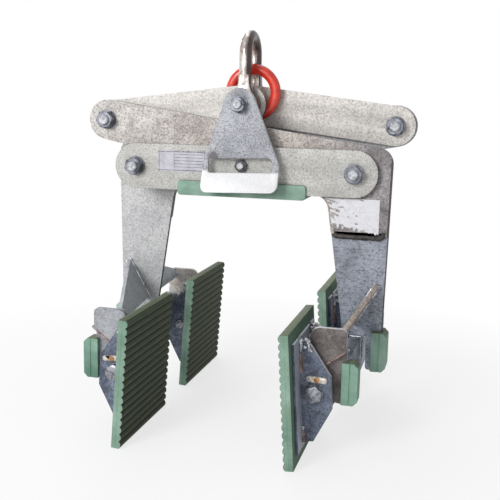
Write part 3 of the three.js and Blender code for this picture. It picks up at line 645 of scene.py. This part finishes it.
# Plates and others that keep their CAD shape: merged copies with softened edges
plateWork = {
    "crossbeam_front": ("beam", "galvanised", 1.0), "crossbeam_rear": ("beam", "galvanised", 1.0),
    "upper_link_left": ("link", "galvanised", 1.1), "upper_link_right": ("link", "galvanised", 1.1),
    "latch_plate": ("latch", "galvanised", 0.9), "saddle_rubber": ("saddleRubber", "green_rubber", 2.0),
    "top_spacer": ("sleeve", "dull_steel", 0.5), "link_washer_front": ("washer", "dull_steel", 0.4),
    "link_washer_rear": ("washer", "dull_steel", 0.4),
}
earFinish = {"front_left": "endPlateLeft", "rear_left": "endPlateRear"}
gussetFinish = {"right": "gusset", "left": "gussetLeft"}
for side in sides:
    plateWork[f"carrier_{side}"] = ("carrier", "galvanised", 1.0)
    plateWork[f"leg_block_{side}"] = ("litRubber", "green_rubber", 1.6)
    plateWork[f"sleeve_{side}"] = ("sleeve", "dull_steel", 0.5)
    for end in ends:
        place = f"{end}_{side}"
        plateWork[f"end_plate_{place}"] = (earFinish.get(place, "endPlate"), "dull_steel", 0.8)
        plateWork[f"gusset_{place}"] = (gussetFinish[side], "galvanised", 0.8)
        plateWork[f"ear_block_{place}"] = ("blockRubber", "green_rubber", 1.6)
        plateWork[f"pad_back_{place}"] = ("padBack", "dull_steel", 0.8)
for nodeName, (finish, slot, bevel) in plateWork.items():
    piece = mergedPiece(pieceName(nodeName), nodeName, finish)
    softenEdges(piece, bevel)
    standsFor(piece, frame["nodes"][nodeName]["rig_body"], slot, nodeName)
print("stage: plates", len(plateWork))


# Cranked arms: the leg is set back under the lap of the lever plate
lap = {"face": -49.0, "level": -423.0, "step": 7.0, "overlap": 0.4, "corner": 9.0, "cornerSteps": 5,
    "bevel": 0.9, "finishes": {"right": ("rightLeg", "lever"), "left": ("leftArm", "leftArm")}}


def sliced(nodeName, *cuts):
    shape = merged(nodeName)
    for point, normal in cuts:
        cut = ops.bisect_plane(shape, geom=shape.verts[:] + shape.edges[:] + shape.faces[:],
            dist=1e-7, plane_co=[c * mm for c in point], plane_no=normal, clear_outer=True)
        rim = [item for item in cut["geom_cut"] if isinstance(item, bmesh.types.BMEdge)]
        ops.edgenet_fill(shape, edges=rim)
        ops.triangulate(shape, faces=[f for f in shape.faces if len(f.verts) > 4])
    return shape


def roundLapCorners(shape):
    near, corners = 0.01 * mm, []
    for edge in shape.edges:
        a, b = (v.co for v in edge.verts)
        along = abs(a.x - b.x) < near and abs(a.z - b.z) < near and abs(a.y - b.y) > mm
        if along and abs(a.z - lap["level"] * mm) < near:
            corners.append(edge)
    ops.bevel(shape, geom=corners, offset=lap["corner"] * mm, segments=lap["cornerSteps"],
        profile=0.5, affect="EDGES")


for side, way in sides.items():
    nodeName = f"crank_{side}"
    inner = (lap["face"] + lap["step"]) * way
    back = sliced(nodeName, ((0, inner, 0), (0, -way, 0)))
    front = sliced(nodeName, ((0, inner + lap["overlap"] * way, 0), (0, way, 0)),
        ((0, 0, lap["level"]), (0, 0, -1)))
    roundLapCorners(front)
    whole = bmesh.new()
    for slotIndex, part in enumerate((back, front)):
        ops.dissolve_limit(part, angle_limit=flatAngle, verts=part.verts, edges=part.edges)
        ops.recalc_face_normals(part, faces=part.faces)
        for face in part.faces:
            face.material_index = slotIndex
        partMesh = written("lapPart", part)
        whole.from_mesh(partMesh)
        bpy.data.meshes.remove(partMesh)
    piece = objectOf(pieceName(nodeName), written(pieceName(nodeName), whole))
    for finish in lap["finishes"][side]:
        piece.data.materials.append(finishes[finish])
    softenEdges(piece, lap["bevel"])
    standsFor(piece, frame["nodes"][nodeName]["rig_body"], "galvanised", nodeName)
print("stage: cranked arms")


# Shackle: its CAD form remeshed and smoothed, so that the bar runs into its eyes
shackleWork = {"voxel": 1.7, "smooth": 8, "smoothShare": 0.5, "fuller": 1.2}
piece = mergedPiece("shackleForging", "shackle", "shackle")
remesh = piece.modifiers.new("remesh", "REMESH")
remesh.mode = "VOXEL"
remesh.voxel_size = shackleWork["voxel"] * mm
remesh.use_smooth_shade = True
smooth = piece.modifiers.new("smooth", "SMOOTH")
smooth.factor = shackleWork["smoothShare"]
smooth.iterations = shackleWork["smooth"]
fuller = piece.modifiers.new("fuller", "DISPLACE")
fuller.strength = shackleWork["fuller"] * mm
fuller.mid_level = 0.0
standsFor(piece, "shackle", "worn_steel", "shackle")


# Ring: a fine torus on the CAD ring's own circle
ringWork = {"centre": (6.95, 0.0, -113.2), "wire": 11.9, "radius": 52.9, "around": 96, "across": 24}
shape = bmesh.new()
loops = []
for i in range(ringWork["around"]):
    turn = 2 * pi * i / ringWork["around"]
    outward = Vector((cos(turn), 0, sin(turn)))
    loops.append([])
    for j in range(ringWork["across"]):
        lean = 2 * pi * j / ringWork["across"]
        reach = ringWork["radius"] + ringWork["wire"] * cos(lean)
        loops[-1].append(shape.verts.new(Vector(ringWork["centre"]) + outward * reach
            + Vector((0, ringWork["wire"] * sin(lean), 0))))
for first, second in zip(loops, loops[1:] + loops[:1]):
    skin(shape, first, second, ringWork["across"])
standsFor(pieceOf("ringForging", shape, "ring"), "ring", "red_paint", "ring")
print("stage: shackle and ring")


# Jaw pads
jaw = {"x": 220.0, "y": 209.5, "z": -717.0, "tilt": 3.9, "lugSpread": 107.0, "lugHalf": 6.0,
    "padRear": -32.3, "padBevel": 1.3, "padBevelAngle": 60}
padWork = {
    "Height": 280 * mm, "Length": 267 * mm, "Thickness": 21.7 * mm, "Rib count": 17,
    "Rib depth": 4.6 * mm, "Rib power": 2.6, "Steps": 10, "Steps along": 25, "Waviness": 0.9 * mm,
    "Wave scale": 28.0, "Finish": finishes["padRubber"],
}


def jawMatrix(side, end):
    centre = Vector((jaw["x"] * sides[side], jaw["y"] * ends[end], jaw["z"])) * mm
    return (Matrix.Translation(centre) @ Matrix.Rotation(0 if sides[side] > 0 else pi, 4, "Z")
        @ Matrix.Rotation(-radians(jaw["tilt"]), 4, "Y"))


ribbedPad = ribTree()
for side, end, place in jawPlaces:
    piece = runTree(pieceName(f"pad_rubber_{place}"), ribbedPad, padWork)
    piece.data.transform(Matrix.Translation((jaw["padRear"] * mm - padWork["Thickness"] / 2, 0, 0)))
    piece.data.transform(jawMatrix(side, end))
    softenEdges(piece, jaw["padBevel"], 2, jaw["padBevelAngle"])
    standsFor(piece, f"jaw_{place}", "green_rubber", f"pad_rubber_{place}")


# Fasteners: a nut rests at y = 0 and stands towards -Y, where a bolt's tip points too
nutWork = {"across": 36, "height": 18, "bore": 12, "washerRadius": 22, "washerThickness": 4}
washerEdge, washerSteps = 0.6, 56
boltWork = {"radius": 11.6, "steps": 40, "tipChamfer": 2.6, "across": 36, "head": 14, "sink": 0.3,
    "beyondNut": 6.3, "headTurn": 0.4}
threadWork = {"Turns": 3.2, "Pitch": 2.0 * mm, "Round steps": 28, "Finish": finishes["bolt"]}
threadSink, threadStart = 0.5, 8.2


def nutShape(across, height, bore, washerRadius, washerThickness, phase):
    shape = bmesh.new()
    revolve(shape, [(0, bore), (0, washerRadius - washerEdge), (-washerEdge, washerRadius),
        (washerEdge - washerThickness, washerRadius),
        (-washerThickness, washerRadius - washerEdge), (-washerThickness, bore)],
        washerSteps, closed=True)
    hexagon(shape, across, -washerThickness - height, -washerThickness, bore, phase)
    return shape


def boltShape(tip, headFace, phase):
    shape = bmesh.new()
    chamfer, radius = boltWork["tipChamfer"], boltWork["radius"]
    revolve(shape, [(tip, 0), (tip, radius - chamfer), (tip + chamfer * 0.35, radius - chamfer * 0.45),
        (tip + chamfer, radius), (headFace + 1, radius), (headFace + 1, 0)], boltWork["steps"])
    hexagon(shape, boltWork["across"], headFace, headFace + boltWork["head"], 0, phase, lowChamfer=False)
    return shape


boltPlaces = {
    "frameBolts": ("frame", [(-255, -285), (255, -285)], -64.0, 64.0, ("lower_left", "lower_right"), 0.3),
    "upperBoltLeft": ("right_arm", [(-332, -181)], -49.0, -14.2, ("upper_left",), 0.1),
    "upperBoltRight": ("left_arm", [(332, -181)], 14.5, 49.0, ("upper_right",), 0.55),
}
fastenerSet, boltThread = fastenerTree(), threadTree()
for name, (body, places, frontFace, rearFace, labels, phase) in boltPlaces.items():
    tip = frontFace - nutWork["washerThickness"] - nutWork["height"] - boltWork["beyondNut"]
    seat, axis, tips = (pathObject(name + kind, [[(x, y, z)] for x, z in places]) for kind, y in (
        ("Seats", frontFace - boltWork["sink"]), ("Axes", 0), ("Tips", tip + threadStart)))
    nut = objectOf("nutItem", meshOf("nutItem", nutShape(phase=phase, **nutWork), smooth=False))
    bolt = objectOf("boltItem", meshOf("boltItem", boltShape(tip, rearFace + boltWork["sink"],
        phase + boltWork["headTurn"]), smooth=False))
    nutPiece = runTree(f"{name}Nuts", fastenerSet, {
        "Places": seat, "Item": nut, "Finish": finishes["nut"]})
    boltPiece = runTree(name, fastenerSet, {"Places": axis, "Item": bolt, "Finish": finishes["bolt"]})
    threadPiece = runTree(f"{name}Threads", boltThread, {**threadWork, "Places": tips,
        "Radius": (boltWork["radius"] - threadSink) * mm})
    for helper in (seat, axis, tips, nut, bolt):
        bpy.data.objects.remove(helper)
    standsFor(nutPiece, body, "fasteners", *[f"pivot_nut_{label}" for label in labels])
    standsFor(boltPiece, body, "fasteners", *[f"pivot_bolt_{label}" for label in labels])
    standsFor(threadPiece, body, "fasteners")
print("stage: pivot bolts")

# Top pin with its nut
topPin = {"axis": (0, -140), "steps": 48, "profile": [
    (-114.6, 0), (-114.6, 7.4), (-113.7, 8.9), (-112.0, 9.8), (-80.0, 10), (-80.0, 12.2), (-78.8, 13),
    (56.3, 13), (56.3, 18), (57.3, 19), (64.8, 19), (66.3, 17.4), (66.3, 0)]}
topNut = {"across": 30, "height": 16, "bore": 10.1, "washerRadius": 19, "washerThickness": 4,
    "phase": 0.25}
topNutPlace = (0, -88.3, -140)
topThread = {"place": (0, -107.2, -140), "radius": 9.4, "turns": 3.0}
turnedEdge = 0.2
piece = pieceOf("topPin", lathed(topPin), "bolt")
softenEdges(piece, turnedEdge, 1, 30)
standsFor(piece, "head", "fasteners", "top_pin")
shape = nutShape(**topNut)
ops.translate(shape, vec=topNutPlace, verts=shape.verts)
standsFor(pieceOf("topNut", shape, "nut", smooth=False), "head", "fasteners", "top_nut")
tips = pathObject("topTip", [[topThread["place"]]])
piece = runTree("topThread", boltThread, {**threadWork, "Places": tips,
    "Radius": topThread["radius"] * mm, "Turns": topThread["turns"]})
bpy.data.objects.remove(tips)
standsFor(piece, "head", "fasteners")

# Catch stud with its nut
catchStud = {"axis": (0, -276), "steps": 36, "profile": [
    (-79.0, 0), (-79.0, 6.4), (-77.4, 8.0), (-64.3, 8.0), (-64.3, 0)]}
studNut = {"across": 26, "low": -72.4, "high": -64.2, "bore": 8.1, "phase": 0.2}
piece = pieceOf("catchStud", lathed(catchStud), "bolt")
softenEdges(piece, turnedEdge, 1, 40)
standsFor(piece, "frame", "fasteners", "catch_stud")
shape = bmesh.new()
hexagon(shape, **studNut)
ops.translate(shape, vec=(0, 0, catchStud["axis"][1]), verts=shape.verts)
standsFor(pieceOf("studNut", shape, "darkNut", smooth=False), "frame", "fasteners")

# Jaw pins, and keepers with rusty screws
padPin = {"axis": (0, 0), "steps": 44,
    "head": {"across": 33.0, "low": -72.8, "high": -61.4, "bore": 0, "phase": 0.35},
    "profile": [(-61.5, 0), (-61.5, 18.6), (-59.8, 19.2), (-59.8, 12.0), (67.0, 12.0), (68.5, 10.5),
        (68.5, 0)]}
keeper = {"outerFace": 64.9, "screwX": 7.0, "screwZ": 30.0, "screwReach": 6.0, "bevel": 0.6}
for side, end, place in jawPlaces:
    shape = lathed(padPin)
    hexagon(shape, **padPin["head"])
    toPlace = Matrix.Translation((jaw["x"] * sides[side], jaw["y"] * ends[end], jaw["z"]))
    ops.transform(shape, verts=shape.verts,
        matrix=toPlace @ Matrix.Rotation(0 if ends[end] < 0 else pi, 4, "Z"))
    piece = pieceOf(pieceName(f"pad_pin_{place}"), shape, "pin")
    softenEdges(piece, turnedEdge, 1, 40)
    standsFor(piece, f"jaw_{place}", "fasteners", f"pad_pin_{place}")
    piece = mergedPiece(pieceName(f"pin_keeper_{place}"), f"pin_keeper_{place}", "keeper")
    piece.data.materials.append(finishes["screw"])
    toJaw = jawMatrix(side, end).inverted()
    for polygon in piece.data.polygons:
        local = toJaw @ polygon.center / mm
        fromScrew = hypot(abs(local.x) - keeper["screwX"], local.z - keeper["screwZ"])
        if abs(local.y) > keeper["outerFace"] and fromScrew < keeper["screwReach"]:
            polygon.material_index = 1
    softenEdges(piece, keeper["bevel"])
    standsFor(piece, f"jaw_{place}", "fasteners", f"pin_keeper_{place}")
print("stage: fasteners")


# Welds, each line given on the right arm and turned half round for the left one
def turned(points, way):
    return [(x * way, y * way, z) for x, y, z in points]


gussetFeet = [((309.5, -526), (290, -561), (258.5, -617)), ((320.5, -531), (300, -567), (268.5, -623))]
legFaces = ((-50.2, -50.4, -50.2), (-29.6, -29.4, -29.6))
legSides, carrierEnds = (-49.6, -30.4), (-221.6, 221.6)
armBeads = {
    "bright": ([
        [(x, y, z) for (x, z), y in zip(foot, face)] for face in legFaces for foot in gussetFeet] + [
        [(266.0, -232.6, -586), (255.8, -232.6, -604)], [(276.0, -232.6, -591), (265.6, -232.6, -609)],
        [(218.0, 232.6, -586), (208.0, 232.6, -604)], [(228.2, 232.6, -591), (217.6, 232.6, -609)],
    ], 6.0, "weld"),
    "carrier": (
        [[(x, y, -656), (x, y, -736)] for y in carrierEnds for x in (283.4, 257.0)]
        + [[(258, y, -651.4), (283, y, -651.4)] for y in legSides]
        + [[(283.4, y, -656), (283.4, y, -700)] for y in legSides], 6.0, "weld"),
    "ear": ([[(207, way * 245.4, -683.5), (240, way * 245.6, -659.4), (274, way * 245.4, -634.5)]
        for way in (-1, 1)], 4.6, "rustWeld"),
}
lapBead = {"width": 12.5, "ripple": 0.12, "line": [
    (211.5, -46.5, -419.0), (217, -46.5, -424.0), (260, -46.5, -425.6), (312, -46.5, -425.0),
    (321, -46.5, -420.5), (324, -46.5, -412.0)]}
beadWork = {"Lump scale": 160.0, "Spacing": 3.4 * mm, "Round steps": 10}
weldBead = beadTree()


def layBeads(name, lines, width, finish, body, ripple=0.22, lumps=0.9):
    path = pathObject(f"{name}Path", lines)
    piece = runTree(name, weldBead, {**beadWork, "Path": path, "Width": width * mm, "Ripple": ripple,
        "Lumps": lumps, "Finish": finishes[finish]})
    bpy.data.objects.remove(path)
    standsFor(piece, body, "galvanised")


for side, way in sides.items():
    for label, (lines, width, finish) in armBeads.items():
        layBeads(f"{label}Beads{side.capitalize()}", [turned(line, way) for line in lines], width, finish,
            f"{side}_arm")
    layBeads(f"lapBead{side.capitalize()}", [turned(lapBead["line"], way)], lapBead["width"], "darkWeld",
        f"{side}_arm", ripple=lapBead["ripple"])

# Ragged weld clumps and rusty seams on both lugs of a jaw, in the jaw's own frame
lugBead = {"width": 7.6, "lumps": 2.8, "seamWidth": 9.0, "seamLumps": 1.6, "proud": 2.0, "inside": 0.4}
jawBeads, jawRust = [], []
for outer in (-1, 1):
    middle = outer * jaw["lugSpread"] / 2
    y = outer * (jaw["lugSpread"] / 2 + jaw["lugHalf"] + lugBead["proud"])
    inner = outer * (jaw["lugSpread"] / 2 - jaw["lugHalf"] - lugBead["inside"])
    jawBeads += [
        [(-25.5, y, 118), (-23.0, y, 106), (-24.5, y, 88)],
        [(-27.0, y, 111), (-14.0, y, 114), (-4.5, y, 108)],
        [(-15.0, y, 116), (-8.0, y, 105), (-6.0, y, 93), (-1.0, y, 88)], [(-22, y, 101), (-12, y, 96)],
        [(-25.5, middle, 108), (-6.0, middle, 107)], [(-26.2, inner, 100), (-26.2, inner, 30)],
        [(-25.4, y, -70), (-25.4, y, -80)], [(-26.2, inner, -100), (-26.2, inner, -30)],
    ]
    jawRust += [[(-25.8, y, 84), (-25.8, y, 44)], [(-25.6, y, -78), (-25.6, y, -104)]]


def placedOn(matrix, lines):
    return [[tuple(matrix @ (Vector(p) * mm) / mm) for p in line] for line in lines]


for side, end, place in jawPlaces:
    matrix, label = jawMatrix(side, end), end.capitalize() + side.capitalize()
    for kind, lines, width, finish, lumps in (
            ("Beads", jawBeads, lugBead["width"], "weld", lugBead["lumps"]),
            ("Seams", jawRust, lugBead["seamWidth"], "rustWeld", lugBead["seamLumps"])):
        layBeads(f"lug{kind}{label}", placedOn(matrix, lines), width, finish, f"jaw_{place}",
            lumps=lumps)
print("stage: welds")


# Rating plate, left blank: only its ruled frame
ratingWork = {
    "left": -200, "right": -85, "low": -295, "high": -247, "face": -64.05, "thickness": 0.7,
    "corner": 2.0, "cornerSteps": 6, "plain": ("9c9ba3", "b0afb7"), "ink": "3d3f45",
    "rulesAcross": (3.0, 112.0, 39.5), "rulesUp": (3.0, 45.0), "ruleHalf": 0.8,
    "rowFirst": 3.5, "rowPitch": 3.6, "rowHalf": 0.6, "rowsFrom": 40.0, "rowsTo": 109.0,
}


def ratingFinish():
    work = ratingWork
    material, shader = newMaterial("ratingPlate")
    vector = mapped()
    place = splitOf(vector)
    base = rampOf(noiseOf(vector, 60, 3), (0.35, work["plain"][0]), (0.65, work["plain"][1]))
    across, up = (times(plus(place[axis], -work[start] * mm), 1 / mm)
        for axis, start in ((0, "left"), (2, "low")))
    rows = mathOf("PINGPONG", minus(up, work["rowFirst"]), work["rowPitch"])
    inField = times(above(across, work["rowsFrom"]), below(across, work["rowsTo"]))
    lines = times(below(rows, work["rowHalf"]), inField)
    for line, places in ((across, work["rulesAcross"]), (up, work["rulesUp"])):
        for at in places:
            lines = larger(lines, below(size(minus(line, at)), work["ruleHalf"]))
    worn = times(lines, rampOf(noiseOf(vector, 220, 4), (0.35, 0.35), (0.55, 0.95)))
    feed(shader.inputs["Base Color"], tinted(base, worn, work["ink"]))
    feed(shader.inputs["Roughness"], 0.4)
    feed(shader.inputs["Metallic"], 0.2)
    return material


def roundedPlate(work, name):
    shape = bmesh.new()
    corner, steps = work["corner"], work["cornerSteps"]
    outline = []
    for quarter, (edgeX, edgeZ) in enumerate((
            ("right", "low"), ("right", "high"), ("left", "high"), ("left", "low"))):
        centreX = work[edgeX] + (corner if edgeX == "left" else -corner)
        centreZ = work[edgeZ] + (corner if edgeZ == "low" else -corner)
        for k in range(steps):
            angle = radians(90 * (quarter - 1) + k * 90 / (steps - 1))
            outline.append((centreX + corner * cos(angle), centreZ + corner * sin(angle)))
    rings = [[shape.verts.new((x, y, z)) for x, z in outline]
        for y in (work["face"], work["face"] - work["thickness"])]
    shape.faces.new(rings[0])
    shape.faces.new(rings[1][::-1])
    skin(shape, rings[0], rings[1], len(outline))
    return meshOf(name, shape, smooth=False)


piece = objectOf("ratingPlate", roundedPlate(ratingWork, "ratingPlate"), ratingFinish())
standsFor(piece, "frame", "galvanised")


# Foil label on the right arm, blank, crumpled and torn along its left side
foilWork = {
    "right": 312, "low": -418, "high": -340, "face": -49.05, "proud": 0.25, "across": 80, "up": 52,
    "crumple": 0.6, "thickness": 0.2, "margin": 5, "roughness": 0.45,
    "tones": ("c3c3c8", "cfcfd4", "d6d6db"),
}
armInside = {"x": 198, "z": -374, "run": 41, "drop": 277, "bendX": 163, "bendZ": -370, "bend": 35}


def foilFinish():
    material, shader = newMaterial("foilLabel")
    crease = noiseOf(mapped((4, 0, 2)), 70, 5, 0.7, 1.6)
    colour = rampOf(crease, *zip((0.36, 0.46, 0.6), foilWork["tones"]))
    dress(shader, {"Base Color": colour, "Roughness": foilWork["roughness"]}, crease, 0.15, 0.0006)
    return material


def armInsideAt(z):
    if z < armInside["z"]:
        return armInside["x"] + armInside["run"] * (armInside["z"] - z) / armInside["drop"]
    return armInside["bendX"] + sqrt(max(armInside["bend"] ** 2 - (z - armInside["bendZ"]) ** 2, 0))


def wander(x, y, z, scale=1.0):
    return noise.noise(Vector((x, y, z)) / scale)


def foilLabel():
    shape = bmesh.new()
    across, up = foilWork["across"], foilWork["up"]
    grid = []
    for row in range(up + 1):
        z = foilWork["low"] + (foilWork["high"] - foilWork["low"]) * row / up
        left = armInsideAt(z) + foilWork["margin"]
        grid.append([])
        for column in range(across + 1):
            x = left + (foilWork["right"] - left) * column / across
            wrinkle = wander(x, z, 0, 9) * 0.6 + wander(x, z, 7, 3.5) * 0.25
            lift = max(0.0, wrinkle + 0.35) * foilWork["crumple"] * (1.3 - column / across)
            grid[-1].append(shape.verts.new((x, foilWork["face"] - foilWork["proud"] - lift, z)))
    for row in range(up):
        for column in range(across):
            share = column / across
            flake = wander(column / 9.0 + row / 14.0, row / 4.2, 3.3)
            torn = flake + wander(column / 3.0, row / 2.2, 9.1) * 0.3
            foot = row / up + 0.12 * wander(column / 4.0, 2.0, 5.0)
            if torn > 0.12 + share * 0.9 or foot < 0.17 * (1.0 - share) + 0.04 * (share < 0.75):
                continue
            shape.faces.new([grid[row][column], grid[row][column + 1], grid[row + 1][column + 1],
                grid[row + 1][column]])
    ops.delete(shape, geom=[v for v in shape.verts if not v.link_faces], context="VERTS")
    return meshOf("foilLabel", shape)


piece = objectOf("foilLabel", foilLabel(), foilFinish())
thick = piece.modifiers.new("thickness", "SOLIDIFY")
thick.thickness = foilWork["thickness"] * mm
thick.offset = 0
standsFor(piece, "right_arm", "galvanised")
print("stage: plates and label")


# Studio: pale floor that fades to white, soft light, camera at the photograph's angle
floorWork = {"half": 6, "below": 0.5 * mm, "tone": (0.9, 0.9, 0.9, 1), "roughness": 0.9,
    "glow": ((0.43, 0.72), (0.75, 1.0)), "glowReach": 2.0}
half, level = floorWork["half"], cadBox[0][2] - floorWork["below"]
floorMesh = bpy.data.meshes.new("studioFloor")
floorMesh.from_pydata([(-half, -half, level), (half, -half, level), (half, half, level),
    (-half, half, level)], [], [(0, 1, 2, 3)])
floorMaterial, shader = newMaterial("studioFloor")
feed(shader.inputs["Base Color"], floorWork["tone"])
feed(shader.inputs["Roughness"], floorWork["roughness"])
rays = nodeOf("LightPath").outputs
reach = nodeOf("VectorMath", {0: coordsOf("Object")}, operation="LENGTH")
glow = rampOf(over(reach.outputs["Value"], floorWork["glowReach"]), *floorWork["glow"])
glowShare = times(larger(rays["Is Camera Ray"], rays["Is Glossy Ray"]), glow)
floorMix = firstOf("MixShader", {0: glowShare, 1: shader.outputs[0], 2: firstOf("Emission")})
feed(building["tree"].nodes["Material Output"].inputs["Surface"], floorMix)
studioFloor = objectOf("studioFloor", floorMesh, floorMaterial)

worldGreys = ((0.0, 0.1), (0.45, 0.26), (1.0, 0.42))  # from the right round to the left
world = bpy.data.worlds.new("studioWorld")
scene.world = world
world.use_nodes = True
building["tree"] = world.node_tree
soft = world.node_tree.nodes["Background"]
direction = splitOf(coordsOf("Generated"))
feed(soft.inputs["Color"], rampOf(timesPlus(direction[0], -0.5, 0.5), *worldGreys))
feed(soft.inputs["Strength"], 1.0)
white = firstOf("Background", {"Color": (1, 1, 1, 1), "Strength": 1.0})
rays = nodeOf("LightPath").outputs
seen = larger(larger(rays["Is Camera Ray"], rays["Is Glossy Ray"]), rays["Is Transmission Ray"])
blend = firstOf("MixShader", {0: seen, 1: soft.outputs[0], 2: white})
feed(world.node_tree.nodes["World Output"].inputs["Surface"], blend)

lightTarget = Vector((0.0, 0.0, -0.42))
lights = {
    "keyLight": ((-1.5, -3.5, 1.0), 1.6, 112), "fillLight": ((0.7, -3.8, -0.1), 2.2, 22),
    "topLight": ((-0.4, 0.6, 2.6), 2.0, 16), "rearLight": ((-1.5, 3.0, 1.2), 2.0, 34),
}
for name, (place, breadth, power) in lights.items():
    data = bpy.data.lights.new(name, "AREA")
    data.shape = "DISK"
    data.size = breadth
    data.energy = power
    lamp = objectOf(name, data)
    lamp.location = place
    lamp.rotation_euler = (lightTarget - Vector(place)).to_track_quat("-Z", "Y").to_euler()

camera = {"place": (502.2, -1861.1, -138.9), "yaw": 14.9, "pitch": 10.0, "roll": 1.17, "focal": 827.4,
    "picture": 500, "sensor": 36}
yaw, pitch, roll = (radians(camera[key]) for key in ("yaw", "pitch", "roll"))
forward = Vector((-sin(yaw) * cos(pitch), cos(yaw) * cos(pitch), -sin(pitch)))
flat = Vector((cos(yaw), sin(yaw), 0))
upward = flat.cross(forward)
rightward = flat * cos(roll) + upward * sin(roll)
topward = upward * cos(roll) - flat * sin(roll)
cameraData = bpy.data.cameras.new("photoCamera")
cameraData.sensor_width = camera["sensor"]
cameraData.lens = camera["focal"] / camera["picture"] * camera["sensor"]
photoCamera = objectOf("photoCamera", cameraData)
photoCamera.matrix_world = Matrix.Translation(Vector(camera["place"]) * mm) @ Matrix(
    (rightward, topward, -forward)).transposed().to_4x4()
scene.camera = photoCamera
scene.view_settings.view_transform = "Standard"
print("stage: studio")
